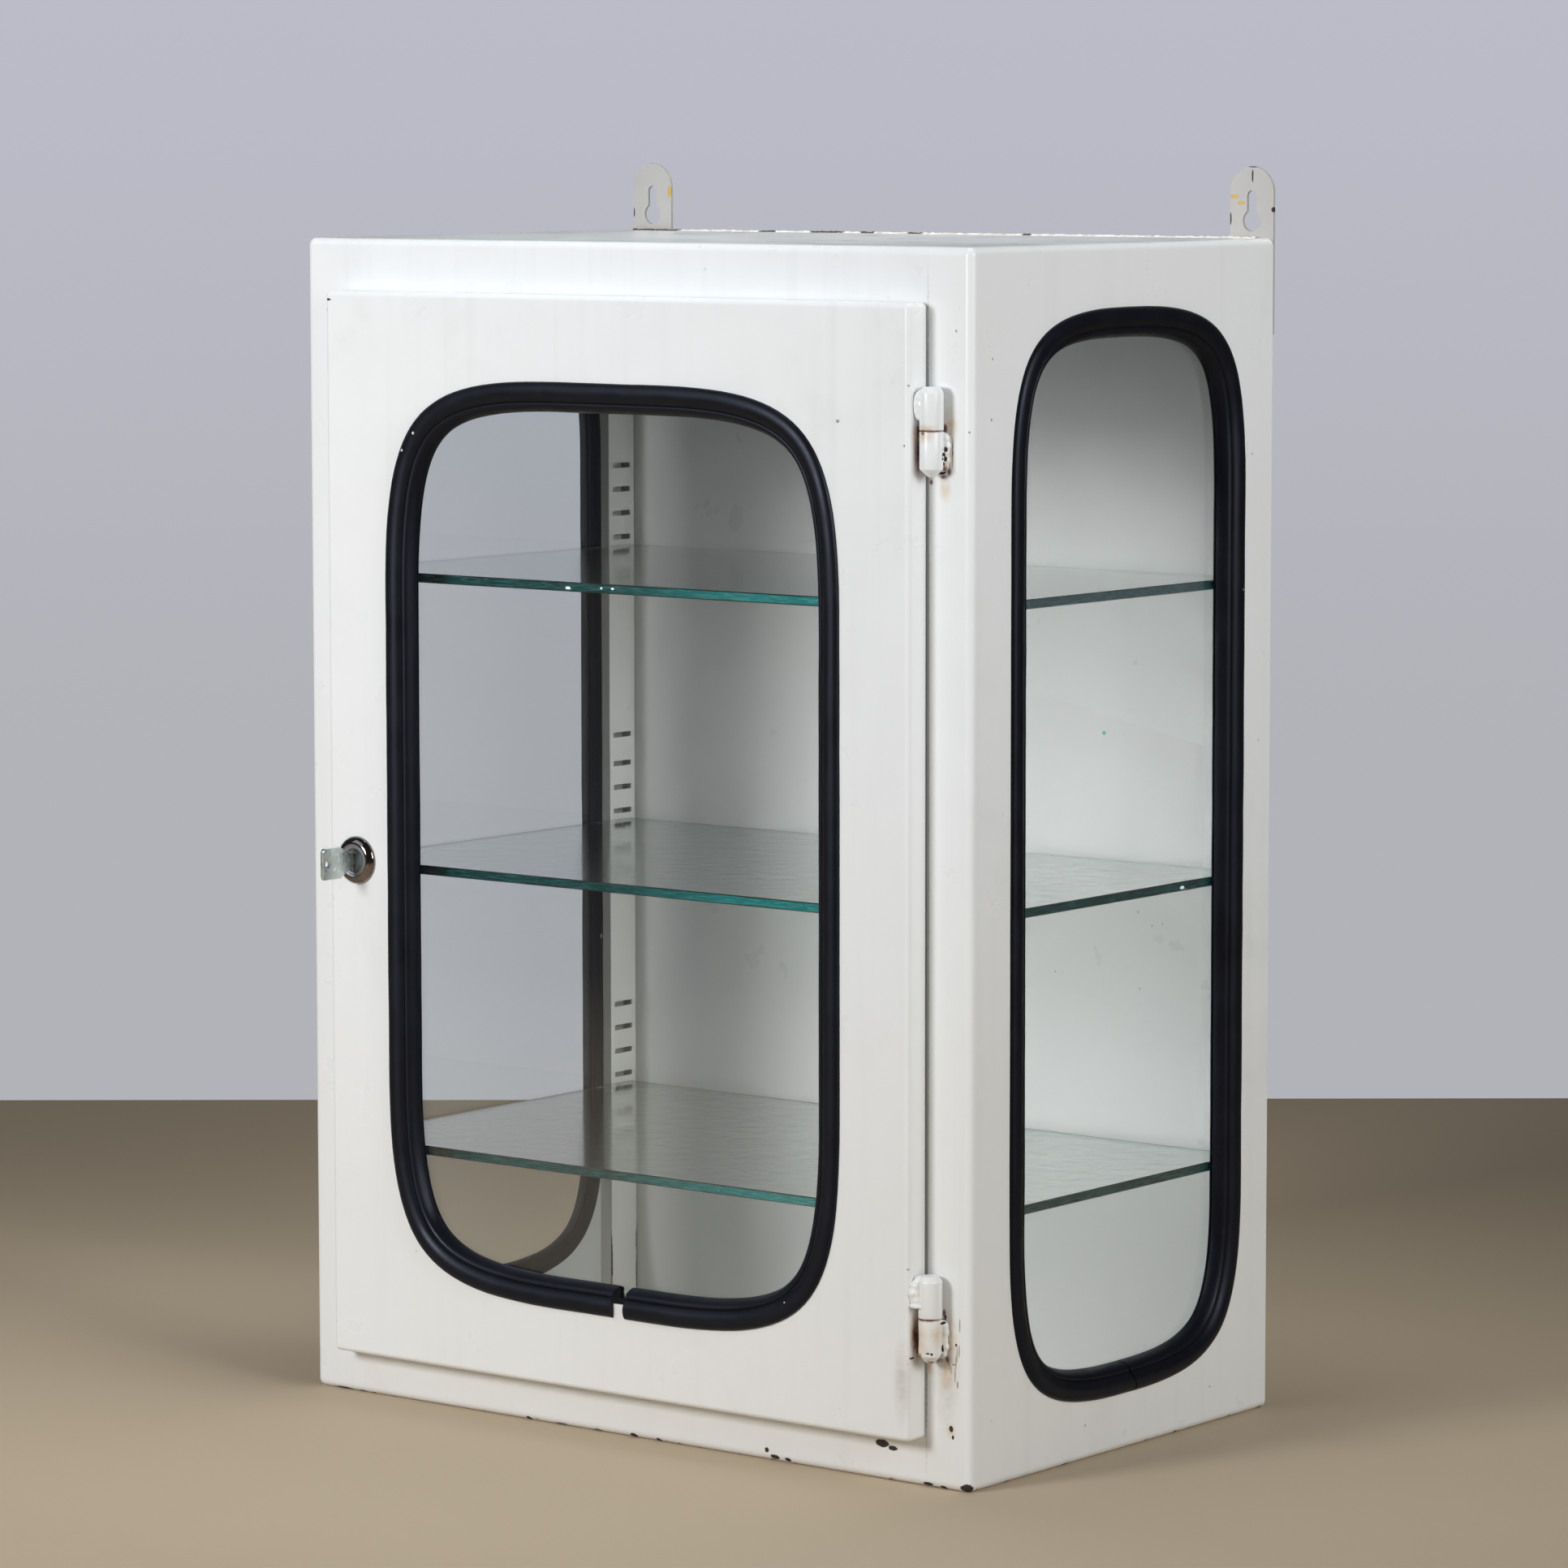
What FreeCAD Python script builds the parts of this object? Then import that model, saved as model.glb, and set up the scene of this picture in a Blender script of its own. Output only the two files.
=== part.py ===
import FreeCAD
import Part
import Sketcher
import math
import os

# A wall-hung medicine cabinet of white sheet steel.
# A glazed door hangs at the right on two weld-on lift-off hinges and locks at the left.
# Both sides are glazed too. All three windows sit in black rubber glazing seals.
# Three glass shelves lie on clips in slotted corner posts.
# Lengths are in millimetres. X runs to the right, Y to the wall, Z up.
# The origin is the centre of the underside of the steel case.

DRIVING_SIZES = {
    "cabinet_width": 528,
    "cabinet_depth": 318,
    "cabinet_height": 745,
    "sheet": 1.2,
    "edge_radius": 5,
    "frame_depth": 8,
    "opening_left": 40,
    "opening_right": 43,
    "opening_bottom": 40,
    "opening_top": 43,
    "opening_corner": 6,
    "door_left": 31.5,
    "door_right": 33.5,
    "door_bottom": 30,
    "door_top": 33,
    "door_stand_off": 17.5,
    "door_gap": 1,
    "door_sheet": 1.2,
    "door_bend": 3,
    "door_return": 10,
    "door_window_left": 50,
    "door_window_right": 51,
    "door_window_bottom": 49,
    "door_window_top": 53,
    "door_window_corner": 92,
    "side_window_front": 39,
    "side_window_rear": 31.5,
    "side_window_bottom": 36,
    "side_window_top": 39,
    "side_window_corner": 88,
    "window_glass": 3,
    "seal_width": 19,
    "seal_grip": 9,
    "seal_web": 1.6,
    "seal_rise": 3,
    "seal_front_curve": 5.5,
    "seal_crease": 1.4,
    "seal_crease_width": 0.8,
    "seal_lip": 0.9,
    "seal_glass_set_back": 8,
    "seal_rear_lip": 2.3,
    "seal_rear_curve": 7.3,
    "seal_foot": 0.8,
    "seal_end_gap": 10.3,
    "seal_gap_shift": 7.9,
    "seal_joint": 0.4,
    "seal_joint_slant": 12,
    "seal_play": 0.3,
    "post_stand_off": 11,
    "post_sheet": 1.2,
    "post_width": 26.5,
    "post_rear_gap": 0.6,
    "post_front_gap": 4.4,
    "post_end_gap": 8,
    "slot_length": 18.3,
    "slot_height": 3.5,
    "slot_step": 16.2,
    "upper_slot_drop": 223.5,
    "lower_slot": 153,
    "odd_slot_step": 19.6,
    "clip_sheet": 1.5,
    "clip_width": 16,
    "clip_rise": 3.4,
    "clip_ledge": 15,
    "clip_hook": 6,
    "clip_play": 0.3,
    "shelf_side_gap": 14,
    "shelf_front_gap": 16.5,
    "shelf_rear_gap": 11.5,
    "shelf_glass": 6,
    "shelf_corner": 2,
    "shelf_arris": 0.6,
    "shelf_play": 0.3,
    "hanger_width": 32.5,
    "hanger_sheet": 2,
    "hanger_rise": 45.5,
    "hanger_overlap": 60,
    "hanger_left_inset": 9.5,
    "hanger_right_inset": 0,
    "keyhole_radius": 6.8,
    "keyhole_height": 11,
    "keyhole_slot_radius": 3.7,
    "keyhole_slot_rise": 15.5,
    "hinge_axis_out": 9.5,
    "hinge_axis_front": 8,
    "hinge_radius": 7.2,
    "hinge_drop": 108,
    "hinge_lift": 105.5,
    "knuckle_length": 26,
    "knuckle_crown": 4.9,
    "knuckle_crown_height": 3.5,
    "frame_knuckle_length": 27.4,
    "knuckle_tip": 2,
    "knuckle_tip_height": 4.7,
    "knuckle_gap": 0.4,
    "knuckle_end_wall": 4,
    "hinge_pin_radius": 4,
    "hinge_pin_play": 0.05,
    "hinge_pin_end_play": 0.3,
    "hinge_pin_chamfer": 1,
    "weld_height": 17,
    "weld_lead": 4,
    "weld_width": 7,
    "weld_foot": 8,
    "weld_throat": 3.4,
    "lock_from_door_edge": 23.5,
    "rosette_radius": 15.3,
    "rosette_edge": 1.2,
    "rosette_rise": 4.6,
    "rosette_crown": 11.2,
    "rosette_dome": 6,
    "rosette_lip": 0.7,
    "rosette_recess": 0.9,
    "lock_barrel_radius": 9.5,
    "lock_bore_radius": 7.65,
    "lock_hole_play": 0.3,
    "lock_nut_width": 25,
    "lock_nut_thick": 4,
    "plug_play": 0.05,
    "plug_chamfer": 0.5,
    "plug_end_play": 0.2,
    "keyway_width": 2.4,
    "keyway_height": 8,
    "keyway_depth": 24,
    "cam_clearance": 1.2,
    "cam_sheet": 2,
    "cam_width": 13,
    "cam_head": 8,
    "cam_reach": 30,
    "cam_square": 6,
    "cam_square_play": 0.1,
    "cam_gap": 0.1,
    "screw_head_radius": 4.5,
    "screw_head_height": 2.4,
    "screw_shank_radius": 2,
    "screw_depth": 6,
    "screw_play": 0.05,
    "key_sheet": 1.9,
    "key_blade_height": 7.2,
    "key_blade_length": 23,
    "key_bow_height": 20.5,
    "key_bow_length": 17,
    "key_bow_start": 13,
    "key_bow_corner": 2.8,
    "key_neck_height": 9,
    "key_hole_radius": 2.4,
    "key_hole_inset": 4.4,
    "key_bow_thick": 2.6,
    "key_bow_round": 0.7,
    "key_notch_depth": 1.4,
    "key_notch_step": 4,
    "overrun": 4,
}

LOCK_HEIGHT_SHARE = 0.47
MIDDLE_SLOT_SHARE = 0.449
SLOT_COUNT = 5
MIDDLE_SLOT_COUNT = 4
ODD_SLOT_COUNT = 1
NOTCH_COUNT = 4
HEX_SIDE_COUNT = 6
TOLERANCE = 0.001

doc = FreeCAD.newDocument("medicine_cabinet")
sub_parts = []


class Size:
    """A length that keeps both its value and the sheet formula that gives it."""

    def __init__(self, value, formula):
        self.value = value
        self.formula = formula

    def __add__(self, other):
        return Size(self.value + other.value, f"({self.formula} + {other.formula})")

    def __sub__(self, other):
        return Size(self.value - other.value, f"({self.formula} - {other.formula})")

    def __neg__(self):
        return Size(-self.value, f"(0 - {self.formula})")

    def __mul__(self, share):
        return Size(self.value * share, f"({self.formula} * {share})")

    def __truediv__(self, share):
        return Size(self.value / share, f"({self.formula} / {share})")


class Dimensions:
    """The driving dimensions, one attribute for each cell of the sheet."""


def fill_sheet(sizes):
    """Write the driving sizes to the sheet and give each one as a named length."""
    sheet = doc.addObject("Spreadsheet::Sheet", "Sizes")
    named = Dimensions()
    for row, (alias, value) in enumerate(sizes.items(), start=1):
        sheet.set(f"A{row}", alias)
        sheet.set(f"B{row}", str(value))
        sheet.setAlias(f"B{row}", alias)
        setattr(named, alias, Size(value, f"Sizes.{alias}"))
    doc.recompute()
    return named


dim = fill_sheet(DRIVING_SIZES)
zero = Size(0, "0")

# Faces and edges of the case that many pieces share
left = -dim.cabinet_width / 2
right = dim.cabinet_width / 2
front = -dim.cabinet_depth / 2
rear = dim.cabinet_depth / 2
top = dim.cabinet_height
frame_rear = front + dim.frame_depth
back_inside = rear - dim.sheet

# Faces of the door
door_x0 = left + dim.door_left
door_x1 = right - dim.door_right
door_z0 = dim.door_bottom
door_z1 = top - dim.door_top
door_front = front - dim.door_stand_off
door_rear = front - dim.door_gap

# The slots that hold the shelves' clips
upper_slot = top - dim.upper_slot_drop
middle_slot = top * MIDDLE_SLOT_SHARE
lower_slot = dim.lower_slot

# The hinge line and the lock's centre
hinge_x = door_x1 + dim.hinge_axis_out
hinge_y = front - dim.hinge_axis_front
lock_x = door_x0 + dim.lock_from_door_edge
lock_z = top * LOCK_HEIGHT_SHARE


def bind(item, name, size):
    """Tie one property of an object to the sheet."""
    item.setExpression(name, size.formula)


def move(item, x=zero, y=zero, z=zero):
    """Put an object in its place, tied to the sheet."""
    item.Placement.Base = FreeCAD.Vector(x.value, y.value, z.value)
    bind(item, "Placement.Base.x", x)
    bind(item, "Placement.Base.y", y)
    bind(item, "Placement.Base.z", z)


def new_body(label):
    """Start a sub-part that is made of sketched features."""
    body = doc.addObject("PartDesign::Body", label)
    body.Label = label
    return body


def keep(item):
    """Count a finished object as a sub-part of the cabinet."""
    sub_parts.append(item)
    return item


def new_sketch(body, role, offset=zero):
    """Lay a sketch on an origin plane of the body, moved along the plane's normal."""
    sketch = body.newObject("Sketcher::SketchObject", f"{body.Label}_sketch")
    plane = [item for item in body.Origin.OriginFeatures if item.Role == role][0]
    sketch.AttachmentSupport = [(plane, "")]
    sketch.MapMode = "FlatFace"
    sketch.AttachmentOffset.Base = FreeCAD.Vector(0, 0, offset.value)
    bind(sketch, "AttachmentOffset.Base.z", offset)
    return sketch


def front_sketch(body, y=zero):
    """A sketch that looks along Y: its axes are X and Z."""
    return new_sketch(body, "XZ_Plane", -y)


def side_sketch(body, x=zero):
    """A sketch that looks along X: its axes are Y and Z."""
    return new_sketch(body, "YZ_Plane", x)


def plan_sketch(body, z=zero):
    """A sketch that looks along Z: its axes are X and Y."""
    return new_sketch(body, "XY_Plane", z)


def hold_point(sketch, index, point, place):
    """Hold one point of a sketch by its two distances from the sketch's origin."""
    across = sketch.addConstraint(Sketcher.Constraint("DistanceX", -1, 1, index, point, place[0].value))
    sketch.setExpression(f"Constraints[{across}]", place[0].formula)
    along = sketch.addConstraint(Sketcher.Constraint("DistanceY", -1, 1, index, point, place[1].value))
    sketch.setExpression(f"Constraints[{along}]", place[1].formula)


def arc_through(start, end, radius, turns_left):
    """The short arc from start to end, turning left or right on the way."""
    middle = (start + end) * 0.5
    chord = end - start
    reach = math.sqrt(max(radius ** 2 - (chord.Length / 2) ** 2, 0))
    across = FreeCAD.Vector(-chord.y, chord.x, 0).normalize()
    centre = middle + across * (reach if turns_left else -reach)
    circle = Part.Circle(centre, FreeCAD.Vector(0, 0, 1), radius)
    first, last = (start, end) if turns_left else (end, start)
    first_angle = math.atan2(first.y - centre.y, first.x - centre.x)
    last_angle = math.atan2(last.y - centre.y, last.x - centre.x)
    if last_angle < first_angle:
        last_angle += 2 * math.pi
    return Part.ArcOfCircle(circle, first_angle, last_angle)


def draw(sketch, places, arcs=None, closed=True):
    """Draw an outline through the places, straight but where arcs gives a radius.

    arcs maps a place's number to (radius, turns_left) for the run that starts there.
    """
    arcs = arcs or {}
    points = [FreeCAD.Vector(x.value, y.value, 0) for x, y in places]
    count = len(points) if closed else len(points) - 1
    ends = []
    for number in range(count):
        start = points[number]
        end = points[(number + 1) % len(points)]
        if number in arcs:
            radius, turns_left = arcs[number]
            curve = arc_through(start, end, radius.value, turns_left)
            index = sketch.addGeometry(curve, False)
            ends.append((index, 1, 2) if turns_left else (index, 2, 1))
            held = sketch.addConstraint(Sketcher.Constraint("Radius", index, radius.value))
            sketch.setExpression(f"Constraints[{held}]", radius.formula)
        else:
            index = sketch.addGeometry(Part.LineSegment(start, end), False)
            ends.append((index, 1, 2))
    for number in range(count):
        index, first, last = ends[number]
        hold_point(sketch, index, first, places[number])
        if closed or number < count - 1:
            following = ends[(number + 1) % count]
            sketch.addConstraint(Sketcher.Constraint("Coincident", index, last, following[0], following[1]))
    if not closed:
        hold_point(sketch, ends[-1][0], ends[-1][2], places[-1])
    return sketch


def draw_rectangle(sketch, x0, x1, y0, y1):
    """Draw a rectangle between two low and two high edges."""
    return draw(sketch, [(x0, y0), (x1, y0), (x1, y1), (x0, y1)])


def draw_rounded(sketch, x0, x1, y0, y1, radius):
    """Draw a rectangle with round corners."""
    places = [
        (x0 + radius, y0),
        (x1 - radius, y0),
        (x1, y0 + radius),
        (x1, y1 - radius),
        (x1 - radius, y1),
        (x0 + radius, y1),
        (x0, y1 - radius),
        (x0, y0 + radius),
    ]
    return draw(sketch, places, {1: (radius, True), 3: (radius, True), 5: (radius, True), 7: (radius, True)})


def draw_circle(sketch, x, y, radius):
    """Draw a circle."""
    centre = FreeCAD.Vector(x.value, y.value, 0)
    index = sketch.addGeometry(Part.Circle(centre, FreeCAD.Vector(0, 0, 1), radius.value), False)
    hold_point(sketch, index, 3, (x, y))
    held = sketch.addConstraint(Sketcher.Constraint("Radius", index, radius.value))
    sketch.setExpression(f"Constraints[{held}]", radius.formula)
    return sketch


def pad(body, sketch, length, backwards=False, both_ways=False):
    """Thicken a sketch into the body."""
    feature = body.newObject("PartDesign::Pad", f"{body.Label}_pad")
    feature.Profile = sketch
    feature.Length = length.value
    feature.Reversed = backwards
    feature.Midplane = both_ways
    bind(feature, "Length", length)
    return feature


def cut(body, sketch, length, backwards=False, both_ways=False):
    """Cut a sketch out of the body, and make sure that it takes material away."""
    doc.recompute()
    volume = body.Shape.Volume
    feature = body.newObject("PartDesign::Pocket", f"{body.Label}_pocket")
    feature.Profile = sketch
    feature.Length = length.value
    feature.Reversed = backwards
    feature.Midplane = both_ways
    bind(feature, "Length", length)
    doc.recompute()
    if not body.Shape.Volume < volume:
        raise ValueError(f"a cut in {body.Label} takes nothing away")
    return feature


def turn(body, sketch):
    """Turn a sketch round its own upright axis into the body."""
    feature = body.newObject("PartDesign::Revolution", f"{body.Label}_turning")
    feature.Profile = sketch
    feature.ReferenceAxis = (sketch, ["V_Axis"])
    feature.Angle = 360
    return feature


def round_edges(body, base, wanted, radius):
    """Round the edges of the last feature that the given test picks."""
    doc.recompute()
    names = [f"Edge{number}" for number, edge in enumerate(base.Shape.Edges, start=1) if wanted(edge)]
    feature = body.newObject("PartDesign::Fillet", f"{body.Label}_round")
    feature.Base = (base, names)
    feature.Radius = radius.value
    bind(feature, "Radius", radius)
    return feature


def bevel_edges(body, base, wanted, size):
    """Chamfer the edges of the last feature that the given test picks."""
    doc.recompute()
    names = [f"Edge{number}" for number, edge in enumerate(base.Shape.Edges, start=1) if wanted(edge)]
    feature = body.newObject("PartDesign::Chamfer", f"{body.Label}_bevel")
    feature.Base = (base, names)
    feature.Size = size.value
    bind(feature, "Size", size)
    return feature


def repeat(body, feature, sketch, reach, copies):
    """Repeat a cut along the sketch's upright axis."""
    pattern = body.newObject("PartDesign::LinearPattern", f"{body.Label}_row")
    pattern.Originals = [feature]
    pattern.Direction = (sketch, ["V_Axis"])
    pattern.Length = reach.value
    pattern.Occurrences = copies
    bind(pattern, "Length", reach)
    body.Tip = pattern
    return pattern


def starts_at(edge, y):
    """Whether the foremost point of an edge lies at the given depth."""
    return abs(edge.BoundBox.YMin - y.value) < TOLERANCE


def round_front(body, x0, x1, z0, z1, y_front, y_rear, radius):
    """A block whose front edges and corners are rounded."""
    face = draw_rectangle(front_sketch(body, y_rear), x0, x1, z0, z1)
    block = pad(body, face, y_rear - y_front)
    return round_edges(body, block, lambda edge: starts_at(edge, y_front), radius)


def make_tray(body, x0, x1, z0, z1, y_front, y_rear, radius, wall):
    """A pressed tray, open at the rear, with rounded front edges and corners."""
    round_front(body, x0, x1, z0, z1, y_front, y_rear, radius)
    inside = new_body(f"{body.Label}_inside")
    inner_front = y_front + wall
    inner_rear = y_rear + wall
    round_front(inside, x0 + wall, x1 - wall, z0 + wall, z1 - wall, inner_front, inner_rear, radius - wall)
    hollow = body.newObject("PartDesign::Boolean", f"{body.Label}_hollow")
    hollow.setObjects([inside])
    hollow.Type = "Cut"
    return hollow


def draw_ring(sketch, x0, x1, y0, y1, radius, width, inner_radius):
    """Draw a rectangular ring of one width with round corners."""
    draw_rounded(sketch, x0, x1, y0, y1, radius)
    return draw_rounded(sketch, x0 + width, x1 - width, y0 + width, y1 - width, inner_radius)


def make_front_frame():
    """The pressed front of the case, with a lip turned in round the opening."""
    body = new_body("front_frame")
    make_tray(body, left, right, zero, top, front, frame_rear, dim.edge_radius, dim.sheet)
    x0 = left + dim.opening_left
    x1 = right - dim.opening_right
    z0 = dim.opening_bottom
    z1 = top - dim.opening_top
    lip = front_sketch(body, frame_rear)
    outer_corner = dim.opening_corner + dim.sheet
    draw_ring(
        lip, x0 - dim.sheet, x1 + dim.sheet, z0 - dim.sheet, z1 + dim.sheet,
        outer_corner, dim.sheet, dim.opening_corner)
    pad(body, lip, dim.frame_depth - dim.sheet / 2)
    opening = front_sketch(body, front - dim.overrun)
    draw_rounded(opening, x0, x1, z0, z1, dim.opening_corner)
    cut(body, opening, dim.overrun + dim.frame_depth + dim.overrun)
    return keep(body)


def window_edges():
    """The outer outline of the side windows' seals, as Y and Z edges."""
    y0 = front + dim.side_window_front
    y1 = rear - dim.side_window_rear
    z0 = dim.side_window_bottom
    z1 = top - dim.side_window_top
    return y0, y1, z0, z1


def door_window_edges():
    """The outer outline of the door's seal, as X and Z edges."""
    x0 = door_x0 + dim.door_window_left
    x1 = door_x1 - dim.door_window_right
    z0 = door_z0 + dim.door_window_bottom
    z1 = door_z1 - dim.door_window_top
    return x0, x1, z0, z1


def draw_inset(sketch, edges, corner, inset):
    """Draw a window outline that lies inside the seal's outer edge by an inset."""
    x0, x1, z0, z1 = edges
    return draw_rounded(sketch, x0 + inset, x1 - inset, z0 + inset, z1 - inset, corner - inset)


# The sheet's hole stops short of the seal's web, and so does the glass on its other side
hole_inset = dim.seal_grip - dim.seal_play
glass_inset = dim.seal_grip + dim.seal_web + dim.seal_play


def make_side(label, hand):
    """A side panel with its bends at top and bottom and its window hole. hand is -1 at the left."""
    body = new_body(label)
    outside = right * hand
    inside = outside - dim.sheet * hand
    bend_end = outside - dim.edge_radius * hand
    inner_radius = dim.edge_radius - dim.sheet
    section = front_sketch(body, frame_rear)
    places = [
        (bend_end, zero),
        (outside, dim.edge_radius),
        (outside, top - dim.edge_radius),
        (bend_end, top),
        (bend_end, top - dim.sheet),
        (inside, top - dim.edge_radius),
        (inside, dim.edge_radius),
        (bend_end, dim.sheet),
    ]
    to_left = hand > 0
    arcs = {
        0: (dim.edge_radius, to_left),
        2: (dim.edge_radius, to_left),
        4: (inner_radius, not to_left),
        6: (inner_radius, not to_left),
    }
    draw(section, places, arcs)
    pad(body, section, back_inside - frame_rear, backwards=True)
    hole = side_sketch(body, outside)
    draw_inset(hole, window_edges(), dim.side_window_corner, hole_inset)
    cut(body, hole, dim.edge_radius * 2, both_ways=True)
    return keep(body)


def make_plate(label, z0):
    """The flat top or bottom panel, between the bends of the sides."""
    body = new_body(label)
    plan = plan_sketch(body, z0)
    draw_rectangle(plan, left + dim.edge_radius, right - dim.edge_radius, frame_rear, back_inside)
    pad(body, plan, dim.sheet)
    return keep(body)


def make_back():
    """The back panel, butted against the rear ends of the case."""
    body = new_body("back_panel")
    face = front_sketch(body, rear)
    draw_rounded(face, left, right, zero, top, dim.edge_radius)
    pad(body, face, dim.sheet)
    return keep(body)


def post_centre(end):
    """The Y place of a corner post's middle. end is -1 at the front."""
    if end > 0:
        return back_inside - dim.post_rear_gap - dim.post_width / 2
    return front + dim.sheet + dim.post_front_gap + dim.post_width / 2


def make_post(label, hand, end):
    """A bent channel that stands in a corner, with three rows of slots for the shelf clips."""
    body = new_body(label)
    middle = post_centre(end)
    y0 = middle - dim.post_width / 2
    y1 = middle + dim.post_width / 2
    wall = (right - dim.sheet) * hand
    face = (right - dim.post_stand_off) * hand
    face_rear = face + dim.post_sheet * hand
    section = plan_sketch(body, dim.post_end_gap)
    draw(section, [
        (wall, y0),
        (face, y0),
        (face, y1),
        (wall, y1),
        (wall, y1 - dim.post_sheet),
        (face_rear, y1 - dim.post_sheet),
        (face_rear, y0 + dim.post_sheet),
        (wall, y0 + dim.post_sheet),
    ])
    pad(body, section, top - dim.post_end_gap * 2)
    odd_slot = middle_slot + dim.slot_step * (MIDDLE_SLOT_COUNT - 1) + dim.odd_slot_step
    cut_slots(body, face, middle, upper_slot, SLOT_COUNT)
    cut_slots(body, face, middle, odd_slot, ODD_SLOT_COUNT)
    cut_slots(body, face, middle, middle_slot, MIDDLE_SLOT_COUNT)
    cut_slots(body, face, middle, lower_slot, SLOT_COUNT)
    return keep(body)


def cut_slots(body, face, middle, height, count):
    """Cut one slot through a post's face and repeat it upwards."""
    slot = side_sketch(body, face)
    y0 = middle - dim.slot_length / 2
    z0 = height - dim.slot_height / 2
    draw_rectangle(slot, y0, y0 + dim.slot_length, z0, z0 + dim.slot_height)
    pocket = cut(body, slot, dim.post_sheet * 3, both_ways=True)
    if count > 1:
        repeat(body, pocket, slot, dim.slot_step * (count - 1), count)


def clip_profile(sketch, hand, slot_height):
    """A clip's section: a hook behind the post, a tongue in the slot, a leg and the ledge."""
    face = (right - dim.post_stand_off) * hand
    front_face = face - dim.clip_play * hand
    leg_face = front_face - dim.clip_sheet * hand
    hook_face = face + (dim.post_sheet + dim.clip_play) * hand
    hook_rear = hook_face + dim.clip_sheet * hand
    ledge_end = face - dim.clip_ledge * hand
    tongue_low = slot_height - dim.clip_sheet / 2
    tongue_high = slot_height + dim.clip_sheet / 2
    ledge_low = tongue_high + dim.clip_rise - dim.clip_sheet / 2
    ledge_high = ledge_low + dim.clip_sheet
    return draw(sketch, [
        (leg_face, tongue_low),
        (hook_rear, tongue_low),
        (hook_rear, tongue_high + dim.clip_hook),
        (hook_face, tongue_high + dim.clip_hook),
        (hook_face, tongue_high),
        (front_face, tongue_high),
        (front_face, ledge_high),
        (ledge_end, ledge_high),
        (ledge_end, ledge_low),
        (leg_face, ledge_low),
    ])


def clip_top(slot_height):
    """The height of the ledge that a shelf lies on."""
    return slot_height + dim.clip_sheet + dim.clip_rise


def make_clips(level, slot_height):
    """The four sheet-metal clips of one shelf, as one group of separate solids."""
    clips = []
    for side_name, hand in (("left", -1), ("right", 1)):
        for end_name, end in (("front", -1), ("rear", 1)):
            name = f"clip_{level}_{side_name}_{end_name}"
            section = doc.addObject("Sketcher::SketchObject", f"{name}_sketch")
            section.Placement.Rotation = FreeCAD.Rotation(FreeCAD.Vector(1, 0, 0), 90)
            clip_profile(section, hand, slot_height)
            clip = doc.addObject("Part::Extrusion", name)
            clip.Base = section
            clip.DirMode = "Custom"
            clip.Dir = FreeCAD.Vector(0, 1, 0)
            clip.Solid = True
            clip.Symmetric = True
            clip.LengthFwd = dim.clip_width.value
            bind(clip, "LengthFwd", dim.clip_width)
            move(clip, y=post_centre(end))
            clips.append(clip)
    group = doc.addObject("Part::Compound", f"shelf_clips_{level}")
    group.Links = clips
    group.Label = f"shelf_clips_{level}"
    return keep(group)


def make_shelf(level, slot_height):
    """A glass shelf with ground edges, lying on its four clips."""
    body = new_body(f"shelf_{level}")
    underside = clip_top(slot_height) + dim.shelf_play
    x0 = left + dim.shelf_side_gap
    x1 = right - dim.shelf_side_gap
    plan = plan_sketch(body, underside)
    draw_rounded(plan, x0, x1, front + dim.shelf_front_gap, rear - dim.shelf_rear_gap, dim.shelf_corner)
    slab = pad(body, plan, dim.shelf_glass)
    bevel_edges(body, slab, lambda edge: edge.BoundBox.ZLength < dim.shelf_play.value, dim.shelf_arris)
    return keep(body)


def make_hanger(label, middle):
    """A steel tab with a keyhole, welded to the outside of the back and standing above the case."""
    body = new_body(label)
    half = dim.hanger_width / 2
    crown = top + dim.hanger_rise
    foot = top - dim.hanger_overlap
    face = front_sketch(body, rear)
    draw(face, [
        (middle - half, foot),
        (middle + half, foot),
        (middle + half, crown - half),
        (middle - half, crown - half),
    ], {2: (half + dim.sheet / 100, True)})
    pad(body, face, dim.hanger_sheet, backwards=True)
    centre = top + dim.keyhole_height
    hole = front_sketch(body, rear)
    draw_circle(hole, middle, centre, dim.keyhole_radius)
    cut(body, hole, dim.hanger_sheet * 3, both_ways=True)
    slot = front_sketch(body, rear)
    slot_half = dim.keyhole_slot_radius
    slot_top = centre + dim.keyhole_slot_rise
    draw(slot, [
        (middle - slot_half, centre),
        (middle + slot_half, centre),
        (middle + slot_half, slot_top),
        (middle - slot_half, slot_top),
    ], {2: (slot_half + dim.sheet / 100, True)})
    cut(body, slot, dim.hanger_sheet * 3, both_ways=True)
    return keep(body)


def make_glass(label, along_x, edges, corner, place, thickness):
    """A flat pane with the window's round corners. place is the low face of its thickness."""
    body = new_body(label)
    sketch = side_sketch(body, place) if along_x else front_sketch(body, place)
    draw_inset(sketch, edges, corner, glass_inset)
    pad(body, sketch, thickness, backwards=not along_x)
    return keep(body)


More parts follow.
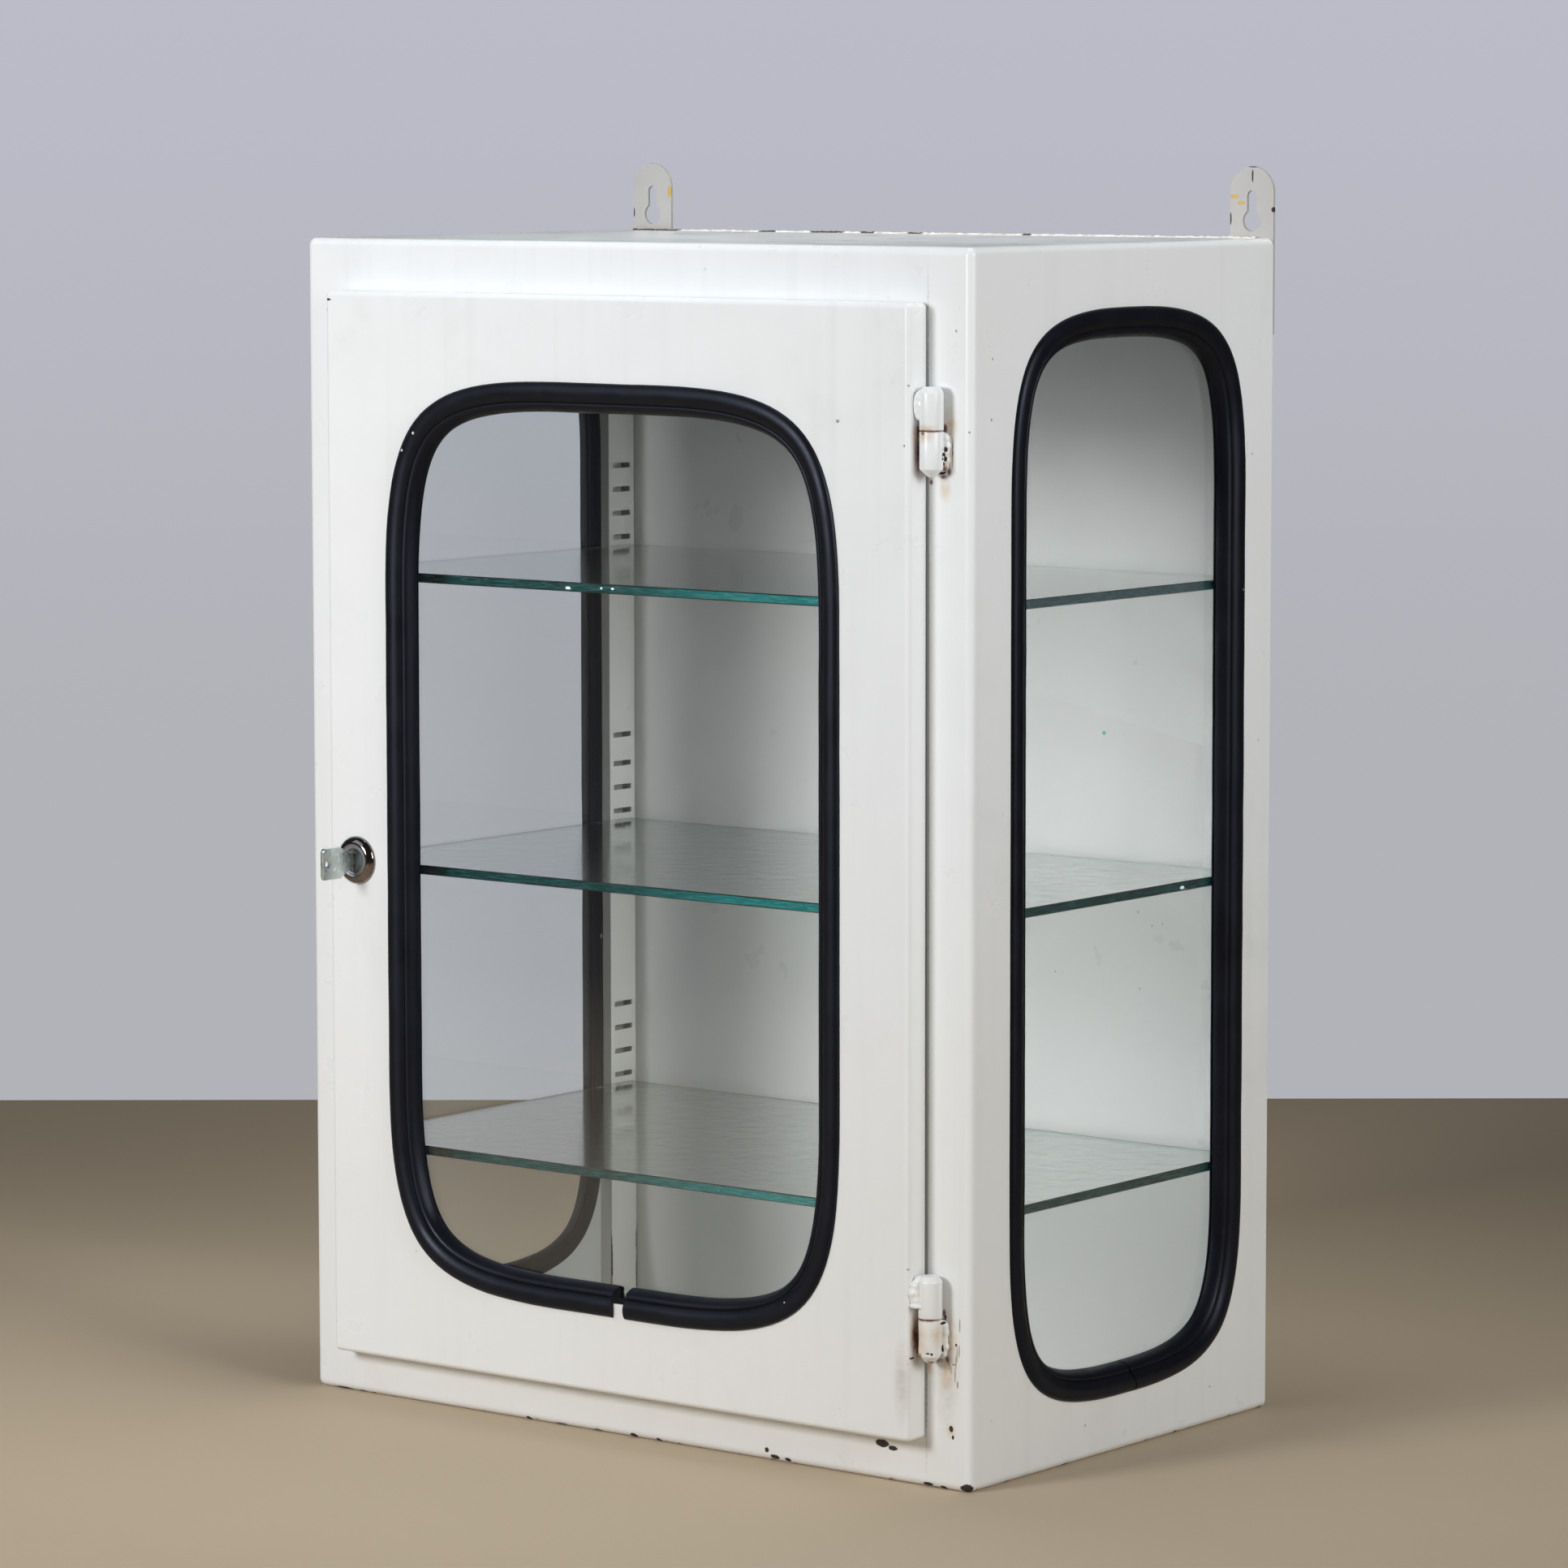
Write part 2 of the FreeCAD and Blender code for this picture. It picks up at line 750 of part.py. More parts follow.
def seal_section(sketch, edge, skin, inward, wall):
    """Draw the glazing seal's section.

    edge is the seal's outer edge along the sketch's upright axis, skin the outer face of the
    sheet along the other axis, and inward is 1 or -1, the way from that face to the inside.
    """
    def place(depth, reach):
        return (skin + depth * inward, edge + reach)

    glass_front = dim.seal_glass_set_back
    glass_rear = glass_front + dim.window_glass
    back = glass_rear + dim.seal_rear_lip
    rear_curve_start = back - dim.seal_rear_curve
    channel = dim.seal_grip + dim.seal_web
    tip = dim.seal_width
    places = [
        place(zero, zero),
        place(-dim.seal_rise, dim.seal_grip),
        place(dim.seal_crease - dim.seal_rise, dim.seal_grip + dim.seal_crease_width),
        place(dim.seal_lip - dim.seal_rise, channel),
        place(glass_front - dim.seal_lip, tip),
        place(glass_front, tip),
        place(glass_front, channel),
        place(glass_rear, channel),
        place(glass_rear, tip - dim.seal_lip),
        place(glass_rear + dim.seal_lip, tip - dim.seal_lip),
        place(back, channel),
        place(back, dim.seal_foot + dim.seal_rear_curve),
        place(rear_curve_start, dim.seal_foot),
        place(wall, dim.seal_foot),
        place(wall, dim.seal_grip),
        place(zero, dim.seal_grip),
    ]
    bulge_turns_left = inward < 0
    arcs = {
        0: (dim.seal_front_curve, bulge_turns_left),
        11: (dim.seal_rear_curve, bulge_turns_left),
    }
    return draw(sketch, places, arcs)


def sweep_seal(body, section, path):
    """Carry the seal's section all the way round its window."""
    doc.recompute()
    feature = body.newObject("PartDesign::AdditivePipe", f"{body.Label}_run")
    feature.Profile = section
    feature.Spine = (path, [f"Edge{number}" for number in range(1, len(path.Shape.Edges) + 1)])
    return feature


def cut_seal(body, sketch, edges, gap, slant, shift):
    """Cut through a seal at or beside the middle of its bottom run, square or at a slant."""
    middle = (edges[0] + edges[1]) / 2 + shift
    low = edges[2] - dim.overrun
    high = edges[2] + dim.seal_width + dim.overrun
    half = gap / 2
    draw(sketch, [
        (middle + slant - half, low),
        (middle + slant + half, low),
        (middle - slant + half, high),
        (middle - slant - half, high),
    ])
    cut(body, sketch, dim.seal_width * 2, both_ways=True)


def make_side_seal(label, hand):
    """The rubber glazing seal of a side window, with a slanting butt joint at the bottom."""
    body = new_body(label)
    edges = window_edges()
    skin = right * hand
    path = draw_rounded(side_sketch(body, skin), *edges, dim.side_window_corner)
    start = edges[0] + dim.side_window_corner
    section = seal_section(front_sketch(body, start), edges[2], skin, -hand, dim.sheet)
    sweep_seal(body, section, path)
    cut_seal(body, side_sketch(body, skin), edges, dim.seal_joint, dim.seal_joint_slant, zero)
    return keep(body)


def make_door_seal():
    """The rubber glazing seal of the door, whose ends have shrunk apart at the bottom."""
    body = new_body("door_seal")
    edges = door_window_edges()
    path = draw_rounded(front_sketch(body, door_front), *edges, dim.door_window_corner)
    start = edges[0] + dim.door_window_corner
    section = seal_section(side_sketch(body, start), edges[2], door_front, 1, dim.door_sheet)
    sweep_seal(body, section, path)
    cut_seal(body, front_sketch(body, door_front), edges, dim.seal_end_gap, zero, dim.seal_gap_shift)
    return keep(body)


def make_door_panel():
    """The door: a pressed tray with a flange turned in at the rear, a window hole and a lock hole."""
    body = new_body("door_panel")
    make_tray(body, door_x0, door_x1, door_z0, door_z1, door_front, door_rear, dim.door_bend, dim.door_sheet)
    flange = front_sketch(body, door_rear)
    half_wall = dim.door_sheet / 2
    draw_ring(
        flange, door_x0 + half_wall, door_x1 - half_wall, door_z0 + half_wall, door_z1 - half_wall,
        dim.door_bend - half_wall, dim.door_return - half_wall, dim.door_bend)
    pad(body, flange, dim.door_sheet)
    window = front_sketch(body, door_front)
    draw_inset(window, door_window_edges(), dim.door_window_corner, hole_inset)
    cut(body, window, dim.door_stand_off, both_ways=True)
    lock_hole = front_sketch(body, door_front)
    draw_circle(lock_hole, lock_x, lock_z, dim.lock_barrel_radius + dim.lock_hole_play)
    cut(body, lock_hole, dim.door_stand_off, both_ways=True)
    return keep(body)


def place_on_hinge(body, split):
    """Put a hinge piece, drawn round its own upright axis, on the hinge line."""
    move(body, hinge_x, hinge_y, split)


def make_door_knuckle(label, split):
    """The upper half of a lift-off hinge: a blind barrel with a bevelled top, welded to the door's side."""
    body = new_body(label)
    bore = dim.hinge_pin_radius + dim.hinge_pin_play
    low = dim.knuckle_gap / 2
    high = dim.knuckle_length
    section = front_sketch(body)
    draw(section, [
        (bore, low),
        (dim.hinge_radius, low),
        (dim.hinge_radius, high - dim.knuckle_crown_height),
        (dim.knuckle_crown, high),
        (zero, high),
        (zero, high - dim.knuckle_end_wall),
        (bore, high - dim.knuckle_end_wall),
    ])
    turn(body, section)
    weld = plan_sketch(body, dim.weld_lead)
    reach = dim.knuckle_crown
    draw(weld, [
        (-dim.hinge_axis_out, -dim.weld_width / 2),
        (-reach, -reach),
        (-reach, dim.weld_width / 2),
        (-dim.hinge_axis_out, dim.weld_width / 2),
    ])
    pad(body, weld, dim.weld_height)
    place_on_hinge(body, split)
    return keep(body)


def make_frame_knuckle(label, split):
    """The lower half of a hinge: a barrel with a conical foot, welded to the front of the case."""
    body = new_body(label)
    bore = dim.hinge_pin_radius + dim.hinge_pin_play
    high = -dim.knuckle_gap / 2
    low = -dim.frame_knuckle_length
    section = front_sketch(body)
    draw(section, [
        (bore, high),
        (bore, low + dim.knuckle_end_wall),
        (zero, low + dim.knuckle_end_wall),
        (zero, low),
        (dim.knuckle_tip, low),
        (dim.hinge_radius, low + dim.knuckle_tip_height),
        (dim.hinge_radius, high),
    ])
    turn(body, section)
    weld = plan_sketch(body, low + dim.weld_lead + dim.weld_lead / 2)
    draw(weld, [
        (zero, dim.knuckle_crown),
        (dim.knuckle_crown, dim.weld_throat),
        (dim.weld_foot, dim.hinge_axis_front - dim.weld_throat / 2),
        (dim.weld_foot, dim.hinge_axis_front),
        (zero, dim.hinge_axis_front),
    ])
    pad(body, weld, dim.weld_height)
    place_on_hinge(body, split)
    return keep(body)


def make_hinge_pin(label, split):
    """The hinge pin, set in the lower barrel and running in the upper one."""
    body = new_body(label)
    low = dim.knuckle_end_wall + dim.hinge_pin_end_play - dim.frame_knuckle_length
    high = dim.knuckle_length - dim.knuckle_end_wall - dim.hinge_pin_end_play
    radius = dim.hinge_pin_radius
    section = front_sketch(body)
    draw(section, [
        (zero, low),
        (radius - dim.hinge_pin_chamfer, low),
        (radius, low + dim.hinge_pin_chamfer),
        (radius, high - dim.hinge_pin_chamfer),
        (radius - dim.hinge_pin_chamfer, high),
        (zero, high),
    ])
    turn(body, section)
    place_on_hinge(body, split)
    return keep(body)


# Depths of the lock's pieces behind the door's front face
frame_lip_rear = dim.door_stand_off + dim.frame_depth
cam_front = frame_lip_rear + dim.cam_clearance
cam_rear = cam_front + dim.cam_sheet
housing_rear = cam_front - dim.cam_gap * 3
plug_front = -dim.rosette_rise + dim.rosette_recess
tail_rear = cam_rear


def place_on_lock(body):
    """Put a lock piece, drawn round its own Y axis, at the lock's centre on the door's face."""
    move(body, lock_x, door_front, lock_z)


def make_lock_body():
    """The lock's domed rosette and barrel, turned in one piece, with a bore for the plug."""
    body = new_body("lock_body")
    bore = dim.lock_bore_radius
    section = plan_sketch(body)
    seat = dim.rosette_crown - dim.rosette_lip
    draw(section, [
        (bore, plug_front),
        (seat, plug_front),
        (dim.rosette_crown, -dim.rosette_rise),
        (dim.rosette_radius, -dim.rosette_edge),
        (dim.rosette_radius, zero),
        (dim.lock_barrel_radius, zero),
        (dim.lock_barrel_radius, housing_rear),
        (bore, housing_rear),
    ], {2: (dim.rosette_dome, True)})
    turn(body, section)
    place_on_lock(body)
    return keep(body)


def make_lock_nut():
    """The hexagon nut that clamps the lock to the door's skin from behind."""
    body = new_body("lock_nut")
    face = front_sketch(body, dim.door_sheet)
    corner = dim.lock_nut_width / 2 / math.cos(math.pi / HEX_SIDE_COUNT)
    places = []
    for number in range(HEX_SIDE_COUNT):
        angle = 2 * math.pi * number / HEX_SIDE_COUNT
        places.append((corner * math.cos(angle), corner * math.sin(angle)))
    draw(face, places)
    draw_circle(face, zero, zero, dim.lock_barrel_radius + dim.plug_play)
    pad(body, face, dim.lock_nut_thick, backwards=True)
    place_on_lock(body)
    return keep(body)


def make_lock_cylinder():
    """The plug that the key turns, with its keyway in front and a square tail for the cam."""
    body = new_body("lock_cylinder")
    radius = dim.lock_bore_radius - dim.plug_play
    plug_rear = cam_front - dim.cam_gap
    section = plan_sketch(body)
    draw(section, [
        (zero, plug_front),
        (radius - dim.plug_chamfer, plug_front),
        (radius, plug_front + dim.plug_chamfer),
        (radius, plug_rear),
        (zero, plug_rear),
    ])
    turn(body, section)
    tail = front_sketch(body, tail_rear)
    half = dim.cam_square / 2
    draw_rectangle(tail, -half, half, -half, half)
    pad(body, tail, tail_rear - plug_rear)
    keyway = front_sketch(body, plug_front - dim.overrun)
    half_way = dim.keyway_width / 2
    half_height = dim.keyway_height / 2
    draw_rectangle(keyway, -half_way, half_way, -half_height, half_height)
    cut(body, keyway, dim.keyway_depth + dim.overrun)
    screw_hole = front_sketch(body, tail_rear + dim.overrun)
    draw_circle(screw_hole, zero, zero, dim.screw_shank_radius + dim.screw_play)
    cut(body, screw_hole, dim.screw_depth + dim.overrun, backwards=True)
    place_on_lock(body)
    return keep(body)


def make_lock_cam():
    """The flat cam that swings behind the front frame's edge."""
    body = new_body("lock_cam")
    half = dim.cam_width / 2
    head = dim.cam_head
    drop_formula = f"sqrt({head.formula} ^ 2 - {half.formula} ^ 2)"
    drop = Size(math.sqrt(head.value ** 2 - half.value ** 2), drop_formula)
    face = front_sketch(body, cam_rear)
    draw(face, [
        (-half, -drop),
        (-half, half - dim.cam_reach),
        (half, half - dim.cam_reach),
        (half, -drop),
        (zero, head),
    ], {
        1: (half + dim.cam_gap / 10, True),
        3: (head, True),
        4: (head, True),
    })
    pad(body, face, dim.cam_sheet)
    hole = front_sketch(body, cam_rear)
    hole_half = dim.cam_square / 2 + dim.cam_square_play
    draw_rectangle(hole, -hole_half, hole_half, -hole_half, hole_half)
    cut(body, hole, dim.cam_sheet * 3, both_ways=True)
    place_on_lock(body)
    return keep(body)


def make_cam_screw():
    """The screw that holds the cam on the plug's tail."""
    body = new_body("lock_cam_screw")
    head_front = cam_rear + dim.cam_gap
    section = plan_sketch(body)
    draw(section, [
        (zero, head_front - dim.screw_depth + dim.plug_end_play),
        (dim.screw_shank_radius, head_front - dim.screw_depth + dim.plug_end_play),
        (dim.screw_shank_radius, head_front),
        (dim.screw_head_radius, head_front),
        (dim.screw_head_radius, head_front + dim.screw_head_height / 2),
        (zero, head_front + dim.screw_head_height),
    ])
    turn(body, section)
    place_on_lock(body)
    return keep(body)


def runs_round_bow(edge, bow_inner):
    """Whether an edge of the key runs along the outside of its bow's flat faces."""
    on_face = abs(abs(edge.CenterOfMass.x) - dim.key_bow_thick.value / 2) < TOLERANCE
    return on_face and edge.CenterOfMass.y < bow_inner.value - TOLERANCE


def make_key():
    """The flat key: a notched blade in the keyway and a thicker bow that stands upright."""
    body = new_body("key")
    half_blade = dim.key_blade_height / 2
    half_neck = dim.key_neck_height / 2
    half_bow = dim.key_bow_height / 2
    half_shoulder = half_bow - dim.key_bow_round
    blade_end = plug_front + dim.key_blade_length
    bow_inner = plug_front - dim.key_bow_start
    bow_outer = bow_inner - dim.key_bow_length
    corner = dim.key_bow_corner
    blade = side_sketch(body)
    draw(blade, [
        (blade_end - half_blade, -half_blade),
        (blade_end, zero),
        (blade_end - half_blade, half_blade),
        (plug_front - corner, half_blade),
        (plug_front - corner, half_neck),
        (bow_inner, half_shoulder),
        (bow_inner, -half_shoulder),
        (plug_front - corner, -half_neck),
        (plug_front - corner, -half_blade),
    ])
    pad(body, blade, dim.key_sheet, both_ways=True)
    bow = side_sketch(body)
    draw(bow, [
        (bow_inner, half_bow),
        (bow_outer + corner, half_bow),
        (bow_outer, half_bow - corner),
        (bow_outer, corner - half_bow),
        (bow_outer + corner, -half_bow),
        (bow_inner, -half_bow),
    ], {1: (corner, True), 3: (corner, True)})
    plate = pad(body, bow, dim.key_bow_thick, both_ways=True)
    round_edges(body, plate, lambda edge: runs_round_bow(edge, bow_inner), dim.key_bow_round)
    hole = side_sketch(body)
    draw_circle(hole, bow_outer + dim.key_hole_inset, zero, dim.key_hole_radius)
    cut(body, hole, dim.key_bow_thick * 2, both_ways=True)
    for number in range(NOTCH_COUNT):
        notch = side_sketch(body)
        middle = blade_end - dim.key_blade_height - dim.key_notch_step * number
        depth = dim.key_notch_depth
        draw(notch, [
            (middle - depth, -half_blade - depth / 2),
            (middle + depth, -half_blade - depth / 2),
            (middle, depth - half_blade),
        ])
        cut(body, notch, dim.key_bow_thick * 2, both_ways=True)
    place_on_lock(body)
    return keep(body)


def make_case():
    """The steel case and its hangers."""
    make_front_frame()
    make_side("left_side", -1)
    make_side("right_side", 1)
    make_plate("top_panel", top - dim.sheet)
    make_plate("bottom_panel", zero)
    make_back()
    half_hanger = dim.hanger_width / 2
    make_hanger("hanger_left", left + dim.hanger_left_inset + half_hanger)
    make_hanger("hanger_right", right - dim.hanger_right_inset - half_hanger)


def make_side_windows():
    """The panes and seals of both sides."""
    edges = window_edges()
    corner = dim.side_window_corner
    set_back = dim.seal_glass_set_back
    thick = dim.window_glass
    make_glass("window_glass_left", True, edges, corner, left + set_back, thick)
    make_glass("window_glass_right", True, edges, corner, right - set_back - thick, thick)
    make_side_seal("window_seal_left", -1)
    make_side_seal("window_seal_right", 1)


def make_shelving():
    """The corner posts, the clips and the glass shelves."""
    make_post("post_front_left", -1, -1)
    make_post("post_front_right", 1, -1)
    make_post("post_rear_left", -1, 1)
    make_post("post_rear_right", 1, 1)
    levels = (("upper", upper_slot), ("middle", middle_slot), ("lower", lower_slot))
    for level, slot_height in levels:
        make_clips(level, slot_height)
        make_shelf(level, slot_height)


def make_door():
    """The door with its pane, seal, hinges, lock and key."""
    make_door_panel()
    glass_front = door_front + dim.seal_glass_set_back
    corner = dim.door_window_corner
    make_glass("door_glass", False, door_window_edges(), corner, glass_front, dim.window_glass)
    make_door_seal()
    for level, split in (("upper", top - dim.hinge_drop), ("lower", dim.hinge_lift)):
        make_door_knuckle(f"hinge_door_knuckle_{level}", split)
        make_frame_knuckle(f"hinge_frame_knuckle_{level}", split)
        make_hinge_pin(f"hinge_pin_{level}", split)
    make_lock_body()
    make_lock_nut()
    make_lock_cylinder()
    make_lock_cam()
    make_cam_screw()
    make_key()


def check_and_write():
    """Make sure that every object is sound, then write one file for each sub-part."""
    doc.recompute()
    for item in doc.Objects:
        if "Invalid" in item.State or "Error" in item.State:
            raise ValueError(f"{item.Label} failed")
    for item in sub_parts:
        if item.Shape.isNull() or not item.Shape.isValid():
            raise ValueError(f"{item.Label} has no sound shape")
    os.makedirs("parts", exist_ok=True)
    for item in sub_parts:
        item.Shape.exportStep(os.path.join("parts", f"{item.Label}.step"))
        solids = len(item.Shape.Solids)
        print(f"{item.Label}: {solids} solids, {item.Shape.Volume:.0f} mm3")


make_case()
make_side_windows()
make_shelving()
make_door()
check_and_write()
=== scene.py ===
import math

import bpy
from mathutils import Matrix, Vector


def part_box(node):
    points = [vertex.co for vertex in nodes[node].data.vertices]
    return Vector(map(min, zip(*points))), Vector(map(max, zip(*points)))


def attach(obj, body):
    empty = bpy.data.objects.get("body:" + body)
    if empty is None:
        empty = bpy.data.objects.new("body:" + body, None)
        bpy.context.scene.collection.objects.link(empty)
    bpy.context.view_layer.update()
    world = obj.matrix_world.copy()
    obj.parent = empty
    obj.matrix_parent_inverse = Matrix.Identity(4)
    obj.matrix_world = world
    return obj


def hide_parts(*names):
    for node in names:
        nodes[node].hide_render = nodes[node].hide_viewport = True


# A white steel medicine cabinet with glazed door and sides, dressed round its solids.
# Lengths are in metres unless a comment says millimetres. The front faces -Y.

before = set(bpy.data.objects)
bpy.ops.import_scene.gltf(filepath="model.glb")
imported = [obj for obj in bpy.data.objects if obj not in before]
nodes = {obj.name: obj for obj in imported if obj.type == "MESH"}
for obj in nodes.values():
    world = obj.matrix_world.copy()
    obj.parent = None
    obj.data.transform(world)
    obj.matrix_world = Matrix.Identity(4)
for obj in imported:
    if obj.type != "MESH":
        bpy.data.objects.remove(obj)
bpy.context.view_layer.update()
MM = 0.001


def link(thing):
    bpy.context.scene.collection.objects.link(thing)


def pick(piece):
    """Leaves this piece alone selected, and active."""
    bpy.ops.object.select_all(action="DESELECT")
    piece.select_set(True)
    bpy.context.view_layer.objects.active = piece


# ---------------------------------------------------------------- camera

CAMERA_PLACE = (2.4225, -3.0981, 0.8213)
CAMERA_YAW = math.radians(38.04)
CAMERA_PITCH = math.radians(6.151)
CAMERA_ROLL = math.radians(-0.07)
LENS_MM = 142.17
SENSOR_MM = 36.0
NEAREST, FARTHEST = 0.1, 60


def make_camera():
    forward = Vector((
        -math.sin(CAMERA_YAW) * math.cos(CAMERA_PITCH),
        math.cos(CAMERA_YAW) * math.cos(CAMERA_PITCH),
        -math.sin(CAMERA_PITCH),
    ))
    level = Vector((math.cos(CAMERA_YAW), math.sin(CAMERA_YAW), 0))
    upright = level.cross(forward)
    right = level * math.cos(CAMERA_ROLL) + upright * math.sin(CAMERA_ROLL)
    up = upright * math.cos(CAMERA_ROLL) - level * math.sin(CAMERA_ROLL)
    data = bpy.data.cameras.new("camera")
    data.lens = LENS_MM
    data.sensor_width = SENSOR_MM
    data.clip_start = NEAREST
    data.clip_end = FARTHEST
    camera = bpy.data.objects.new("camera", data)
    turn = Matrix((right, up, -forward)).transposed().to_4x4()
    camera.matrix_world = Matrix.Translation(CAMERA_PLACE) @ turn
    link(camera)
    bpy.context.scene.camera = camera


# ---------------------------------------------------------------- how a finish is made

# Patterns of noise are given as scale, detail and roughness.
GLOW_PATCHES = (190.0, 5.0, 0.6)
RAGGED = (5.0, 0.65)

# The corners of the case, drawn in by the radius of its bends. The inner faces within them take a
# painted shade.
LINING_LOW = (-0.259, -0.154, 0.005)
LINING_HIGH = (0.259, 0.154, 0.740)
# How far the sheet's inner and outer faces are from there.
LINING_INSIDE, LINING_OUTSIDE = 0.0042, 0.0046


def join(tree, value, socket):
    """Feeds a socket from another one, or sets it."""
    if isinstance(value, bpy.types.NodeSocket):
        tree.links.new(value, socket)
    else:
        socket.default_value = value


def compute(tree, operation, *values):
    node = tree.nodes.new("ShaderNodeMath")
    node.operation = operation
    for value, socket in zip(values, node.inputs):
        join(tree, value, socket)
    return node.outputs[0]


def mixed(tree, amount, first, second):
    """The first surface where the amount is nought, the second where it is one."""
    node = tree.nodes.new("ShaderNodeMixShader")
    for value, socket in zip((amount, first, second), node.inputs):
        tree.links.new(value, socket)
    return node.outputs[0]


class Finish:
    """A material built node by node. Places on it are in metres, in the object's own space."""

    def __init__(self, name):
        self.material = bpy.data.materials.new(name)
        self.material.use_nodes = True
        self.tree = self.material.node_tree
        self.tree.nodes.clear()
        self.output = self.tree.nodes.new("ShaderNodeOutputMaterial")
        self.shader = self.tree.nodes.new("ShaderNodeBsdfPrincipled")
        self.show(self.shader.outputs[0])
        self.place = self.tree.nodes.new("ShaderNodeTexCoord").outputs["Object"]
        self.x, self.y, self.z = self.parts(self.place)

    def parts(self, vector):
        apart = self.tree.nodes.new("ShaderNodeSeparateXYZ")
        self.join(vector, apart.inputs[0])
        return apart.outputs

    def show(self, surface):
        self.tree.links.new(surface, self.output.inputs["Surface"])

    def join(self, value, socket):
        join(self.tree, value, socket)

    def set(self, **values):
        for name, value in values.items():
            self.join(value, self.shader.inputs[name.replace("_", " ")])

    def sum(self, operation, first, second=0.0, third=0.0):
        return compute(self.tree, operation, first, second, third)

    def vector(self, operation, first, second=(0, 0, 0), third=(0, 0, 0)):
        node = self.tree.nodes.new("ShaderNodeVectorMath")
        node.operation = operation
        for value, socket in zip((first, second, third), node.inputs):
            self.join(value, socket)
        return node.outputs["Value" if operation == "LENGTH" else "Vector"]

    def stretched(self, scales):
        return self.vector("MULTIPLY", self.place, scales)

    def noise(self, scale, detail=4.0, rough=0.5, at=None, warp=0.0):
        node = self.tree.nodes.new("ShaderNodeTexNoise")
        self.join(at or self.place, node.inputs["Vector"])
        node.inputs["Scale"].default_value = scale
        node.inputs["Detail"].default_value = detail
        node.inputs["Roughness"].default_value = rough
        node.inputs["Distortion"].default_value = warp
        return node.outputs["Fac"]

    def cells(self, scale):
        node = self.tree.nodes.new("ShaderNodeTexVoronoi")
        self.join(self.place, node.inputs["Vector"])
        node.inputs["Scale"].default_value = scale
        return node.outputs["Distance"]

    def between(self, value, low, high, start=0.0, end=1.0):
        """Goes softly from start to end while the value goes from low to high."""
        node = self.tree.nodes.new("ShaderNodeMapRange")
        node.interpolation_type = "SMOOTHSTEP"
        self.join(value, node.inputs["Value"])
        node.inputs["From Min"].default_value = low
        node.inputs["From Max"].default_value = high
        node.inputs["To Min"].default_value = start
        node.inputs["To Max"].default_value = end
        return node.outputs[0]

    def blend(self, amount, first, second):
        node = self.tree.nodes.new("ShaderNodeMix")
        node.data_type = "RGBA"
        sockets = {socket.identifier: socket for socket in node.inputs}
        self.join(amount, sockets["Factor_Float"])
        self.join(first, sockets["A_Color"])
        self.join(second, sockets["B_Color"])
        return [out for out in node.outputs if out.identifier == "Result_Color"][0]

    def spots(self, places):
        """How far a point is from the nearest of these marks, where 1 is a mark's edge."""
        nearest = None
        for centre, size in places:
            shrink = tuple(1 / (s * MM) for s in size)
            shift = tuple(-c * MM * k for c, k in zip(centre, shrink))
            local = self.vector("MULTIPLY_ADD", self.place, shrink, shift)
            away = self.vector("LENGTH", local)
            nearest = away if nearest is None else self.sum("MINIMUM", nearest, away)
        return nearest

    def marks(self, places, jag=0.8, grain=420.0, soft=0.12):
        """One inside the marks, nought outside, with a ragged outline."""
        ragged = self.sum("MULTIPLY_ADD", self.noise(grain, *RAGGED), jag, -jag / 2)
        away = self.sum("ADD", self.spots(places), ragged)
        return self.between(away, 1 - soft, 1 + soft, 1.0, 0.0)

    def glow(self, places):
        """One at the middle of the marks, fading out to nought at their edge, a little uneven."""
        full = self.between(self.spots(places), 0.0, 1.0, 1.0, 0.0)
        uneven = self.between(self.noise(*GLOW_PATCHES), 0.25, 0.7, 0.45, 1.0)
        return self.sum("MULTIPLY", full, uneven)

    def inside_shade(self):
        """One on the case's inner faces, which take a painted shade, and nought on its outer ones,
        past the bends too.
        """
        above, below = [
            self.vector("SUBTRACT", self.place, corner) for corner in (LINING_HIGH, LINING_LOW)
        ]
        beyond = self.vector("ADD", self.vector("MAXIMUM", above), self.vector("MINIMUM", below))
        away = self.vector("LENGTH", beyond)
        return self.between(away, LINING_INSIDE, LINING_OUTSIDE, 1.0, 0.0)

    def bump(self, layers):
        """Lays unevennesses over one another, each as height, strength and depth in metres."""
        normal = None
        for height, strength, depth in layers:
            node = self.tree.nodes.new("ShaderNodeBump")
            node.inputs["Strength"].default_value = strength
            node.inputs["Distance"].default_value = depth
            self.join(height, node.inputs["Height"])
            if normal is not None:
                self.join(normal, node.inputs["Normal"])
            normal = node.outputs["Normal"]
        self.join(normal, self.shader.inputs["Normal"])


def colour(red, green, blue):
    """A colour written as it looks on a screen, 0 to 255, as light values."""

    def light(level):
        level /= 255
        return level / 12.92 if level <= 0.04045 else ((level + 0.055) / 1.055) ** 2.4

    return (light(red), light(green), light(blue), 1.0)


# ---------------------------------------------------------------- marks of age

